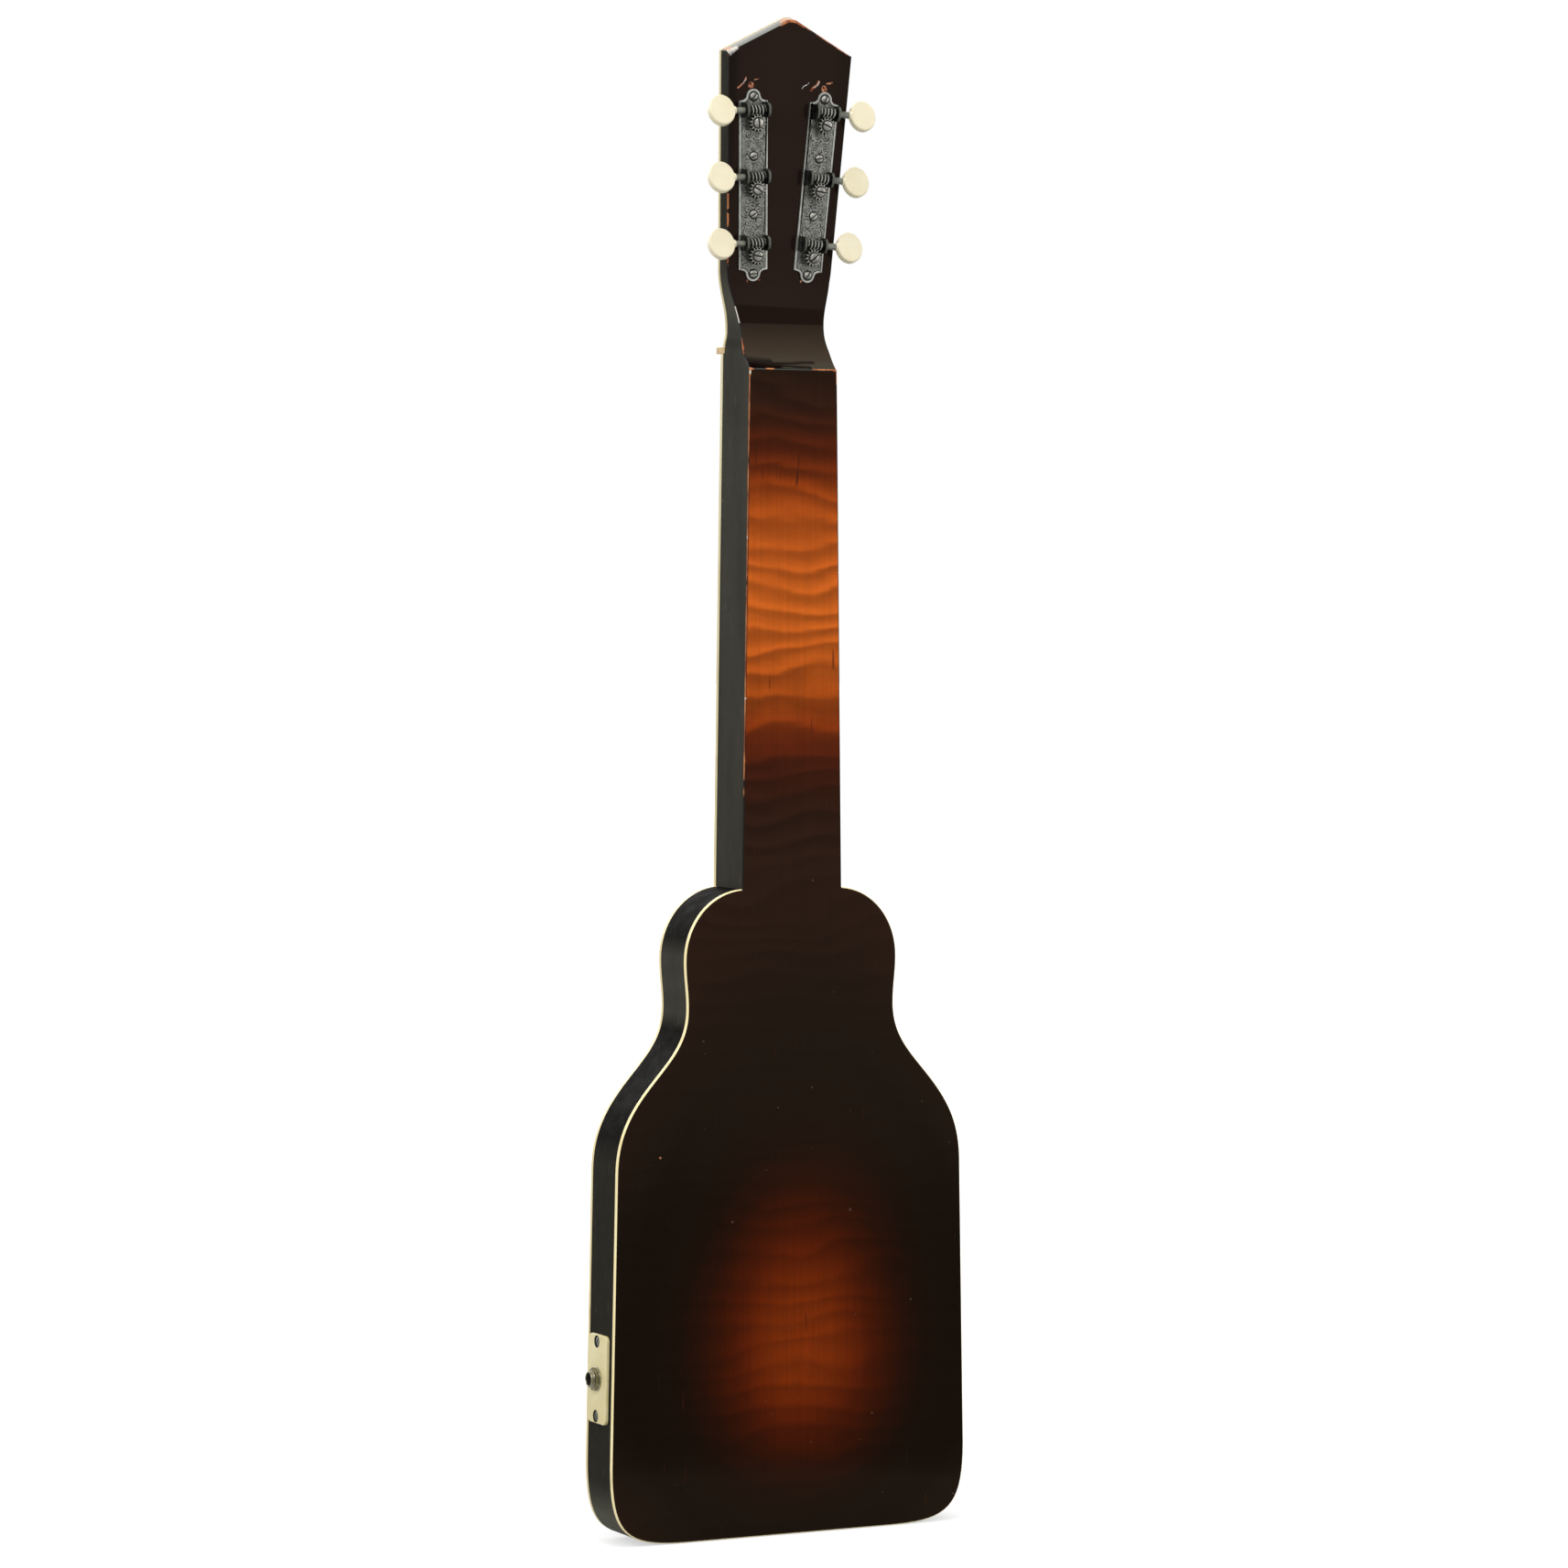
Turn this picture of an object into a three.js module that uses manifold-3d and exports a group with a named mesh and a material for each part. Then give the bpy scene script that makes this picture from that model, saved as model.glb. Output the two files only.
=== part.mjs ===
// Lap steel guitar, upright on its tail end.
// X runs across the instrument, treble side positive. Y runs from the playing face to the back.
// Z runs from the tail end to the tip of the head. The origin is the middle of the flat tail end.
// Sizes are in millimetres and angles in degrees.
import * as THREE from 'three';
import { mergeVertices } from 'three/addons/utils/BufferGeometryUtils.js';
import Module from 'manifold-3d';

const wasm = await Module();
wasm.setup();

// Driving dimensions

const gap = 0.3; // between two pieces that touch
const runningGap = 0.15; // between a shaft and its bearing
const overrun = 3; // how far a cut runs past the face that it opens

const scaleLength = 571.5;
const saddleRise = 56.1;

const body = {
  depth: 34,
  tailWidth: 120,
  lowerWidth: 209.6,
  lowerRise: 42,
  cheekWidth: 203.8,
  cheekRise: 196,
  slopeWidth: 161,
  slopeRise: 244.5,
  slopeAngle: 131.5,
  waistWidth: 122,
  waistRise: 282,
  upperWidth: 125,
  upperRise: 307,
  neckRise: 344.4,
  neckAngle: 176,
  tailHandleShare: 0.58,
  curveHandleShare: 0.39,
  topThickness: 5,
  floorThickness: 8,
  curveSegments: 7,
};

const binding = { width: 1.2, height: 3.4 };

const neck = {
  widthAtBody: 58.8,
  ridgeBelowNut: 10.1,
  scoopAngle: 141,
  scoopEndAngle: 97,
  scoopHandleShare: 0.36,
  scoopSegments: 12,
};

const fingerboard = { endRise: 172, thickness: 4, proud: 1.3, bindingWidth: 1.6 };

const nut = { width: 51.4, thickness: 3.5, proud: 4.5, breakShare: 0.3 };

const head = {
  angle: 6.2,
  coreThickness: 9.3,
  veneerThickness: 2.1,
  bindingWidth: 1.6,
  narrowing: 2, // from the nut's width to its narrowest place
  narrowRise: 9.7,
  flareWidth: 61.8,
  flareRise: 44.8,
  flareAngle: 87.2,
  topWidth: 72.8,
  topRise: 157.8,
  tipRise: 174.6,
  scoopRise: 38.5,
  curveHandleShare: 0.39,
  curveSegments: 8,
};

const strings = {
  diameters: [0.42, 0.5, 0.62, 0.82, 1.04, 1.3],
  turns: [2.25, 2.25, 2.25, 2.25, 2.25, 1.25],
  nutSpacing: 8,
  saddleSpacing: 10,
  belowNutTop: 0.2,
  sides: 5,
  stepsPerTurn: 12,
  wrapGap: 0.46,
  ballRadius: 2,
  ballLength: 3.4,
  ballSides: 10,
};

const tuner = {
  firstRise: 51.7,
  pitch: 34.9,
  spread: 33.2,
  lean: 3.05,
};

const tunerPlate = {
  width: 16.8,
  thickness: 1,
  below: 7.5, // straight part below the first post
  beyond: 11.5, // straight part beyond the last post
  cornerAngle: 135, // heading of the shoulder where it leaves the corner
  shoulderShare: 0.74, // of the width, where the shoulder's curve turns over
  shoulderRise: 1.4,
  shoulderAngle: 162,
  shoulderHandleShare: 0.4,
  tabRadius: 4.1,
  tabReach: 2.1,
  tabTilt: 6,
  tabSegments: 9,
  screwPitchShares: [0.622, 1.496], // its two middle screws, from the first post
  screwRadius: 2.4,
  screwHeight: 1.2,
  slotWidth: 0.7,
  slotDepth: 0.6,
  slotTurn: 65, // from one screw to the next
  earOffset: 6.2,
  earThickness: 1.4,
  earWidth: 8.2,
  earHeight: 7.4,
  earTopRadius: 3.2,
};

const worm = {
  height: 4, // of its axis above the plate
  meshGap: 0.2, // between its tips and the gear's roots
  tipRadius: 2.95,
  rootRadius: 1.75,
  journalRadius: 1.5,
  shaftRadius: 1.8,
  sides: 10,
  tipShare: 0.24,
  rootShare: 0.52,
};

const gear = {
  teeth: 14,
  tipRadius: 4.75,
  rootRadius: 3.55,
  thickness: 3,
  boreGap: 0.2, // round the post's spigot
  tipShare: 0.24,
  rootShare: 0.5,
  boreSides: 10,
};

const post = {
  radius: 2.8,
  height: 12, // above the front of the head
  domeHeight: 0.8,
  domeRadius: 2,
  holeRadius: 0.9,
  holeHeight: 6.2,
  spigotRadius: 1.9,
  threadDepth: 4,
  sides: 12,
};

const gearScrew = {
  headRadius: 3.1,
  headHeight: 1.1,
  shankRadius: 0.85,
  shankGap: 0.25,
  slotWidth: 0.7,
  slotDepth: 0.6,
  sides: 10,
};

const button = {
  width: 15,
  height: 16.4,
  thickness: 4.4,
  edge: 1.1,
  offset: 20.9, // of its centre from the plate's centre line
  bore: 6,
  turn: 22,
  sides: 18,
};

const jack = {
  rise: 87.5,
  offset: -0.7, // towards the playing face
  barrelRadius: 4.75,
  boreRadius: 3.4,
  mouthReach: 8.4, // beyond the plate
  housingRadius: 6.8,
  housingLength: 21,
  tipWall: 2,
  nutWidth: 12.4,
  nutThickness: 2.5,
  sides: 16,
};

const domeShare = 0.7; // of a screw head's radius, where its dome is flat

const jackPlate = {
  height: 46,
  width: 20.4,
  thickness: 1.5,
  cornerRadius: 3.2,
  screwSpacing: 39.4,
  screwHeadRadius: 2.2,
  screwHeadGap: 0.5,
  screwHeadHeight: 1,
  screwShankRadius: 1.1,
  screwShankLength: 9,
  slotWidth: 0.7,
  routeHeight: 30,
  routeGap: 0.8, // round the jack's housing
};

const controls = {
  offset: 66,
  volumeRise: 150,
  toneRise: 98,
  potRadius: 10,
  potDepth: 9,
  bushingRadius: 4.5,
  bushingReach: 2,
  shaftRadius: 3.1,
  shaftReach: 9.5,
  knobRadius: 10.5,
  knobTopRadius: 8.6,
  knobHeight: 12.5,
  knobClearance: 0.8,
  knobSkirt: 3,
  flutes: 14,
  fluteDepth: 0.6,
  cavityMargin: 6,
  cavityOuterWall: 12,
  cavityCornerRadius: 6,
  wireRadius: 3,
  sides: 16,
};

const bridge = {
  width: 70,
  length: 38,
  baseThickness: 2.2,
  saddleFromTop: 10,
  saddleThickness: 3.4,
  lipFromTail: 9,
  lipThickness: 2.6,
  lipProud: 3.4, // beyond the strings
  cornerRadius: 4,
  screwRadius: 1.9,
  screwInset: 5,
};

const pickup = {
  rise: 127,
  coverWidth: 82,
  coverLength: 32,
  coverThickness: 1.9,
  coverRadius: 5,
  coilWidth: 72,
  coilLength: 20,
  coilDepth: 12,
  bladeWidth: 60,
  bladeThickness: 3.2,
  belowStrings: 1.1,
  magnetWidth: 64,
  magnetLength: 16,
  magnetDepth: 6,
  routeMargin: 1.5,
};

// Derived places

const backY = body.depth / 2;
const frontY = -backY;
const nutRise = saddleRise + scaleLength;
const boardTopY = frontY - fingerboard.proud;
const seatY = boardTopY + fingerboard.thickness + gap;
const nutTopY = boardTopY - nut.proud;
const stringY = nutTopY + strings.belowNutTop;
const ridgeRise = nutRise - neck.ridgeBelowNut;
const breakRise = nutRise + nut.thickness * nut.breakShare;
const narrowWidth = nut.width - head.narrowing;
const headTopY = -gap - head.veneerThickness;
const headLean = THREE.MathUtils.degToRad(head.angle);
const wormPitch = (Math.PI * (gear.tipRadius + gear.rootRadius) + Math.PI * 2 * runningGap) / gear.teeth;
const wormOffset = gear.rootRadius + worm.tipRadius + worm.meshGap;
const thickestString = Math.max(...strings.diameters);

// The head's frame: X across, Y out of its back, Z along it, from the line where it breaks from the neck.
const headFrame = new THREE.Matrix4()
  .makeTranslation(0, seatY, breakRise)
  .multiply(new THREE.Matrix4().makeRotationX(-headLean));

const at = (x, y, z) => new THREE.Vector3(x, y, z);

function neckHalfWidth(rise) {
  const share = (rise - body.neckRise) / (nutRise - body.neckRise);
  return THREE.MathUtils.lerp(neck.widthAtBody, nut.width, share) / 2;
}

// Outlines: lists of 2D points, or curves between two points with given headings

function flow(from, fromAngle, to, toAngle, handleShare, segments) {
  const handle = from.distanceTo(to) * handleShare;
  const heading = (degrees) => {
    const angle = THREE.MathUtils.degToRad(degrees);
    return new THREE.Vector2(Math.cos(angle), Math.sin(angle)).multiplyScalar(handle);
  };
  const leave = from.clone().add(heading(fromAngle));
  const arrive = to.clone().sub(heading(toAngle));
  return new THREE.CubicBezierCurve(from, leave, arrive, to).getPoints(segments).slice(1);
}

const mirrored = (points) => points.map((p) => new THREE.Vector2(-p.x, p.y));

// Moves a line that runs anticlockwise round an outline inwards by a distance, with mitred corners.
function inset(points, distance) {
  const normals = points.slice(1).map((p, i) => {
    const run = p.clone().sub(points[i]).normalize();
    return new THREE.Vector2(-run.y, run.x);
  });
  return points.map((p, i) => {
    const before = normals[Math.max(i - 1, 0)];
    const after = normals[Math.min(i, normals.length - 1)];
    const mitre = before.clone().add(after).divideScalar(1 + before.dot(after));
    return p.clone().addScaledVector(mitre, distance);
  });
}

function ribbon(points, width) {
  return [...points, ...inset(points, width).reverse()];
}

function roundedRectangle(width, height, radius) {
  const x = width / 2;
  const z = height / 2;
  const shape = new THREE.Shape();
  shape.moveTo(x, radius - z);
  shape.absarc(x - radius, z - radius, radius, 0, Math.PI / 2);
  shape.absarc(radius - x, z - radius, radius, Math.PI / 2, Math.PI);
  shape.absarc(radius - x, radius - z, radius, Math.PI, Math.PI * 1.5);
  shape.absarc(x - radius, radius - z, radius, Math.PI * 1.5, Math.PI * 2);
  return shape.getPoints(3);
}

const rectangle = (halfWidth, low, high) => [
  new THREE.Vector2(halfWidth, low),
  new THREE.Vector2(halfWidth, high),
  new THREE.Vector2(-halfWidth, high),
  new THREE.Vector2(-halfWidth, low),
];

// Geometries

function extrude(points, depth, u, v) {
  const geometry = new THREE.ExtrudeGeometry(new THREE.Shape(points), { depth, bevelEnabled: false });
  const w = u.clone().cross(v);
  return geometry.applyMatrix4(new THREE.Matrix4().makeBasis(u, v, w));
}

// An outline in X and Z, extruded from one Y, nearer the back, to another.
function slab(points, fromY, toY) {
  return extrude(points, fromY - toY, at(1, 0, 0), at(0, 0, 1)).translate(0, fromY, 0);
}

// An outline in Y and Z, extruded across X.
function beam(points, halfWidth) {
  return extrude(points, halfWidth * 2, at(0, 1, 0), at(0, 0, 1)).translate(-halfWidth, 0, 0);
}

// A turned piece on the Y axis, from pairs of radius and height that start and end on the axis.
function turned(profile, sides) {
  return new THREE.LatheGeometry(profile.map(([radius, y]) => new THREE.Vector2(radius, y)), sides);
}

function rod(radius, fromY, toY, sides) {
  return turned([[0, fromY], [radius, fromY], [radius, toY], [0, toY]], sides);
}

// Turns a piece on the Y axis to lie along X.
const alongX = (geometry) => geometry.rotateZ(-Math.PI / 2);

function box(low, high) {
  const size = high.clone().sub(low);
  const middle = low.clone().add(high).divideScalar(2);
  return new THREE.BoxGeometry(size.x, size.y, size.z).translate(middle.x, middle.y, middle.z);
}

function fromTriangles(vertices, triangles) {
  const geometry = new THREE.BufferGeometry();
  const places = vertices.flatMap((v) => v.toArray());
  geometry.setAttribute('position', new THREE.Float32BufferAttribute(places, 3));
  geometry.setIndex(triangles);
  return geometry;
}

// A round wire through points, carried without twist, closed at both ends.
function wire(points, radius, sides) {
  const tangents = points.map((p, i) => {
    const next = points[i + 1];
    const before = i > 0 ? p.clone().sub(points[i - 1]).normalize() : new THREE.Vector3();
    const after = next ? next.clone().sub(p).normalize() : new THREE.Vector3();
    return before.add(after).normalize();
  });
  const normal = at(1, 0, 0).projectOnPlane(tangents[0]).normalize();
  const vertices = [];
  points.forEach((p, i) => {
    if (i > 0) {
      normal.applyQuaternion(new THREE.Quaternion().setFromUnitVectors(tangents[i - 1], tangents[i]));
    }
    const binormal = tangents[i].clone().cross(normal);
    for (let k = 0; k < sides; k += 1) {
      const angle = (2 * Math.PI * k) / sides;
      const offset = normal.clone().multiplyScalar(radius * Math.cos(angle));
      vertices.push(p.clone().add(offset).addScaledVector(binormal, radius * Math.sin(angle)));
    }
  });
  const start = vertices.push(points[0].clone()) - 1;
  const end = vertices.push(points[points.length - 1].clone()) - 1;
  const last = (points.length - 1) * sides;
  const triangles = [];
  for (let k = 0; k < sides; k += 1) {
    const next = (k + 1) % sides;
    for (let ring = 0; ring < last; ring += sides) {
      triangles.push(ring + k, ring + next, ring + sides + next);
      triangles.push(ring + k, ring + sides + next, ring + sides + k);
    }
    triangles.push(start, next, k, end, last + k, last + next);
  }
  return fromTriangles(vertices, triangles);
}

// A screw thread about X: four lines a turn, two at the root and two at the tip.
function thread(pitch, turns, radii, lineShares, sides) {
  const rows = turns * lineShares.length;
  const columns = [];
  const vertices = [];
  for (let i = 0; i < sides; i += 1) {
    const angle = (2 * Math.PI * i) / sides;
    const count = i === 0 ? rows + lineShares.length : rows;
    const column = [];
    for (let j = 0; j <= count; j += 1) {
      const line = j % lineShares.length;
      const turn = Math.floor(j / lineShares.length) + lineShares[line] + i / sides;
      const x = pitch * (turn - turns / 2 - 1);
      column.push(vertices.length);
      vertices.push(at(x, radii[line] * Math.sin(angle), -radii[line] * Math.cos(angle)));
    }
    columns.push(column);
  }
  columns.push(columns[0].slice(lineShares.length));
  const triangles = [];
  for (let i = 0; i < sides; i += 1) {
    for (let j = 0; j < rows; j += 1) {
      const [a, b] = [columns[i][j], columns[i + 1][j]];
      const [c, d] = [columns[i + 1][j + 1], columns[i][j + 1]];
      triangles.push(a, b, c, a, c, d);
    }
  }
  const step = lineShares.length;
  const lowRim = columns.slice(0, sides).map((c) => c[0]).concat(columns[0].slice(1, step + 1).reverse());
  const highRim = columns.slice(0, sides).map((c) => c[rows]);
  highRim.push(...columns[0].slice(rows + 1, rows + step + 1).reverse());
  const low = vertices.push(at(-pitch * (turns / 2 + 1), 0, 0)) - 1;
  const high = vertices.push(at(pitch * (turns / 2 + 1), 0, 0)) - 1;
  lowRim.forEach((v, k) => triangles.push(low, lowRim[(k + 1) % lowRim.length], v));
  highRim.forEach((v, k) => triangles.push(high, v, highRim[(k + 1) % highRim.length]));
  return fromTriangles(vertices, triangles);
}

// Joining and cutting

function solid(geometry) {
  const plain = geometry.clone();
  plain.deleteAttribute('normal');
  plain.deleteAttribute('uv');
  const merged = mergeVertices(plain);
  const mesh = new wasm.Mesh({
    numProp: 3,
    vertProperties: merged.attributes.position.array,
    triVerts: new Uint32Array(merged.index.array),
  });
  return new wasm.Manifold(mesh);
}

function geometryOf(manifold) {
  const mesh = manifold.getMesh();
  const geometry = new THREE.BufferGeometry();
  geometry.setAttribute('position', new THREE.BufferAttribute(mesh.vertProperties, 3));
  geometry.setIndex(new THREE.BufferAttribute(mesh.triVerts, 1));
  return geometry;
}

const join = (...geometries) => geometries.map(solid).reduce((a, b) => a.add(b));
const cut = (manifold, ...cutters) => cutters.map(solid).reduce((a, b) => a.subtract(b), manifold);
const placed = (geometry, matrix) => geometry.clone().applyMatrix4(matrix);

// Materials

function finish(color, roughness, metalness) {
  return () => new THREE.MeshStandardMaterial({ color, roughness, metalness });
}

const lacqueredMaple = finish(0x2b1a14, 0.2, 0);
const agedIvoroid = finish(0xe8dcae, 0.35, 0);
const rosewood = finish(0x2a1a14, 0.5, 0);
const blackLacquer = finish(0x141210, 0.2, 0);
const bone = finish(0xd8c48c, 0.45, 0);
const plainSteel = finish(0xb9bbbd, 0.3, 1);
const woundNickel = finish(0x9c9a94, 0.4, 1);
const agedNickel = finish(0x8f9190, 0.4, 1);
const darkSteel = finish(0x35363a, 0.45, 1);
const ivoryPlastic = finish(0xefe4c0, 0.35, 0);
const blackPlastic = finish(0x131313, 0.3, 0);
const copperCoil = finish(0x5a2c18, 0.5, 0.4);
const greyMagnet = finish(0x5c5e62, 0.6, 1);
const brownCard = finish(0x6b5236, 0.7, 0);

const guitar = new THREE.Group();

function add(name, geometry, material, parent = guitar) {
  const mesh = new THREE.Mesh(geometry, material());
  mesh.name = name;
  parent.add(mesh);
  return mesh;
}

// The body's outline from the bass side's neck corner, round the tail, to the treble side's.
function bodyOutline() {
  const knot = (width, rise) => new THREE.Vector2(width / 2, rise);
  const curve = body.curveHandleShare;
  const sideAngle = 90 + THREE.MathUtils.radToDeg(sideTaper());
  const tail = knot(body.tailWidth, 0);
  const lower = knot(body.lowerWidth, body.lowerRise);
  const cheek = knot(body.cheekWidth, body.cheekRise);
  const slope = knot(body.slopeWidth, body.slopeRise);
  const waist = knot(body.waistWidth, body.waistRise);
  const upper = knot(body.upperWidth, body.upperRise);
  const corner = new THREE.Vector2(neckHalfWidth(body.neckRise), body.neckRise);
  const segments = body.curveSegments;
  const half = [
    tail,
    ...flow(tail, 0, lower, 90, body.tailHandleShare, segments),
    cheek,
    ...flow(cheek, sideAngle, slope, body.slopeAngle, curve, segments),
    ...flow(slope, body.slopeAngle, waist, 90, curve, segments),
    ...flow(waist, 90, upper, 90, curve, 3),
    ...flow(upper, 90, corner, body.neckAngle, curve, segments),
  ];
  return [...mirrored(half).reverse(), ...half];
}

function sideTaper() {
  return Math.atan2((body.lowerWidth - body.cheekWidth) / 2, body.cheekRise - body.lowerRise);
}

function sideHalfWidth(rise) {
  return body.lowerWidth / 2 - (rise - body.lowerRise) * Math.tan(sideTaper());
}

// The frame of the jack's pieces is on the flat stretch of the treble side, with X pointing out of it.
const jackMatrix = new THREE.Matrix4()
  .makeTranslation(sideHalfWidth(jack.rise), jack.offset, jack.rise)
  .multiply(new THREE.Matrix4().makeRotationY(-sideTaper()));

// The head's outline from its treble foot, over the tip, to the bass foot.
// A foot ends at the narrowest place.
function headOutline(foot) {
  const flare = new THREE.Vector2(head.flareWidth / 2, head.flareRise);
  const narrow = foot[foot.length - 1];
  const half = [
    ...foot,
    ...flow(narrow, 90, flare, head.flareAngle, head.curveHandleShare, head.curveSegments),
    new THREE.Vector2(head.topWidth / 2, head.topRise),
  ];
  return [...half, new THREE.Vector2(0, head.tipRise), ...mirrored(half).reverse()];
}

function curvedFoot(startRise) {
  const start = new THREE.Vector2(nut.width / 2, startRise);
  const narrow = new THREE.Vector2(narrowWidth / 2, head.narrowRise);
  return [start, ...flow(start, 90, narrow, 90, head.curveHandleShare, 4)];
}

function straightFoot() {
  const narrow = new THREE.Vector2(narrowWidth / 2, head.narrowRise);
  return [new THREE.Vector2(narrow.x, narrow.y - overrun * 2), narrow];
}

// The neck's outline between two heights, with the curve to the head's narrowest place above the nut.
function neckOutline(fromRise, margin) {
  const narrowRise = breakRise + head.narrowRise * Math.cos(headLean);
  const foot = new THREE.Vector2(neckHalfWidth(fromRise) + margin, fromRise);
  const atNut = new THREE.Vector2(nut.width / 2 + margin, breakRise);
  const narrow = new THREE.Vector2(narrowWidth / 2 + margin, narrowRise);
  const above = new THREE.Vector2(narrow.x, narrowRise + overrun);
  const half = [foot, atNut, ...flow(atNut, 90, narrow, 90, head.curveHandleShare, 4), above];
  return [...half, ...mirrored(half).reverse()];
}

// The neck and head seen from the side: back, scoop, the head's two faces, and the seat of the fingerboard.
function neckProfile(fromRise) {
  const inHead = (y, rise) => {
    const p = at(0, y, rise).applyMatrix4(headFrame);
    return new THREE.Vector2(p.y, p.z);
  };
  const ridge = new THREE.Vector2(backY, ridgeRise);
  const scoopEnd = inHead(head.coreThickness, head.scoopRise);
  const { scoopAngle, scoopEndAngle, scoopHandleShare, scoopSegments } = neck;
  const scoop = flow(ridge, scoopAngle, scoopEnd, scoopEndAngle, scoopHandleShare, scoopSegments);
  const beyond = head.tipRise + overrun;
  return [
    new THREE.Vector2(seatY, fromRise),
    new THREE.Vector2(backY, fromRise),
    ridge,
    ...scoop,
    inHead(head.coreThickness, beyond),
    inHead(0, beyond),
    inHead(0, 0),
  ];
}

const outline = bodyOutline();
const neckRoot = body.waistRise; // the neck runs through the body to here
const veneerStart = (nut.thickness * (1 - nut.breakShare) + gap) / Math.cos(headLean);

// Where each string meets its post: posts of each side are numbered from the nut.
function postPlace(side, number) {
  const along = tuner.pitch * number;
  const lean = THREE.MathUtils.degToRad(tuner.lean);
  const x = side * (tuner.spread / 2 + along * Math.sin(lean));
  return at(x, 0, tuner.firstRise + along * Math.cos(lean));
}

const sides = [
  { name: 'treble', sign: 1 },
  { name: 'bass', sign: -1 },
];
const postNumbers = [0, 1, 2];

// Body, neck and head core in one, with its rabbets, recess, routes and post holes
function makeBody() {
  const inner = inset(outline, binding.width + gap);
  const rabbet = binding.height + gap;
  const profile = beam(neckProfile(neckRoot), body.lowerWidth);
  const neckSlab = slab(neckOutline(neckRoot, 0), backY + overrun, frontY - overrun);
  const neckBlock = solid(profile).intersect(solid(neckSlab));
  const headSlab = slab(headOutline(straightFoot()), body.depth, -body.depth);
  const headBlock = solid(profile).intersect(solid(placed(headSlab, headFrame)));
  const core = join(slab(inner, backY, frontY), slab(outline, backY - rabbet, frontY + rabbet))
    .add(neckBlock)
    .add(headBlock);
  const cuts = [fingerboardRecess(), pickupRoute(), wireChannel(), controlCavity(), jackRoute()];
  cuts.push(...shaftHoles(), ...jackScrewHoles());
  for (const { sign } of sides) {
    for (const number of postNumbers) {
      const place = postPlace(sign, number);
      const hole = rod(post.radius + gap, -overrun, head.coreThickness + overrun, post.sides);
      cuts.push(hole.translate(place.x, 0, place.z).applyMatrix4(headFrame));
    }
  }
  return geometryOf(cut(core, ...cuts));
}

function fingerboardRecess() {
  const low = fingerboard.endRise - gap;
  const high = body.neckRise + overrun;
  const half = [
    new THREE.Vector2(neckHalfWidth(low) + gap, low),
    new THREE.Vector2(neckHalfWidth(high) + gap, high),
  ];
  return slab([...half, ...mirrored(half).reverse()], seatY, frontY - overrun);
}

function pickupRoute() {
  const width = pickup.coilWidth + pickup.routeMargin * 2;
  const length = pickup.coilLength + pickup.routeMargin * 2;
  const floorY = pickupStack().floor;
  return slab(roundedRectangle(width, length, pickup.coverRadius), floorY, frontY - overrun)
    .translate(0, 0, pickup.rise);
}

// Heights of the pickup's pieces, from the floor of its route to the top of its blade
function pickupStack() {
  const floor = backY - body.floorThickness - gap * 2;
  const magnet = floor - gap;
  const coil = magnet - pickup.magnetDepth - gap;
  const bladeTop = stringY + thickestString / 2 + pickup.belowStrings;
  return { floor, magnet, coil, bladeTop };
}

const cavity = {
  low: controls.toneRise - controls.potRadius - controls.cavityMargin * 2,
  high: controls.volumeRise + controls.potRadius + controls.cavityMargin,
  inner: controls.offset - controls.potRadius - controls.cavityMargin,
  outer: sideHalfWidth(controls.volumeRise) - controls.cavityOuterWall,
  ceilingY: frontY + body.topThickness,
  floorY: backY - body.floorThickness,
};

function controlCavity() {
  const width = cavity.outer - cavity.inner;
  const height = cavity.high - cavity.low;
  return slab(roundedRectangle(width, height, controls.cavityCornerRadius), cavity.floorY, cavity.ceilingY)
    .translate((cavity.outer + cavity.inner) / 2, 0, (cavity.high + cavity.low) / 2);
}

function wireChannel() {
  const from = pickup.coilWidth / 2;
  return alongX(rod(controls.wireRadius, from, cavity.inner + overrun, 8)).translate(0, 0, pickup.rise);
}

function jackRoute() {
  const half = jack.housingRadius + jackPlate.routeGap;
  const low = at(cavity.outer - overrun, jack.offset - half, jack.rise - jackPlate.routeHeight / 2);
  const high = at(body.lowerWidth / 2 + overrun, jack.offset + half, jack.rise + jackPlate.routeHeight / 2);
  return box(low, high);
}

function jackScrewHoles() {
  const depth = jackPlate.screwShankLength;
  const hole = alongX(rod(jackPlate.screwShankRadius + gap / 2, -depth, overrun, 10));
  return [-1, 1].map((end) => {
    const place = new THREE.Matrix4().makeTranslation(0, 0, (end * jackPlate.screwSpacing) / 2);
    return placed(hole, jackMatrix.clone().multiply(place));
  });
}

function shaftHoles() {
  const deep = cavity.ceilingY + overrun;
  const hole = rod(controls.bushingRadius + gap, frontY - overrun, deep, controls.sides);
  const rises = [controls.volumeRise, controls.toneRise];
  return rises.map((rise) => hole.clone().translate(controls.offset, 0, rise));
}

// Bindings of the body's two edges, open where the neck leaves the body
function makeBodyBinding(fromY, toY) {
  const strip = solid(slab(ribbon(outline, binding.width), fromY, toY));
  return geometryOf(cut(strip, slab(neckOutline(neckRoot, gap), fromY + overrun, toY - overrun)));
}

function boardOutline(margin, low) {
  const high = nutRise - gap;
  const half = [
    new THREE.Vector2(neckHalfWidth(low) - margin, low),
    new THREE.Vector2(neckHalfWidth(high) - margin, high),
  ];
  return [...half, ...mirrored(half).reverse()];
}

function makeFingerboard() {
  const margin = fingerboard.bindingWidth + gap;
  return slab(boardOutline(margin, fingerboard.endRise + margin), seatY - gap, boardTopY);
}

// Down the bass edge, across the end on the body and up the treble edge
function makeFingerboardBinding() {
  const [low, high, highBass, lowBass] = boardOutline(0, fingerboard.endRise);
  return slab(ribbon([highBass, lowBass, low, high], fingerboard.bindingWidth), seatY - gap, boardTopY);
}

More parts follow.
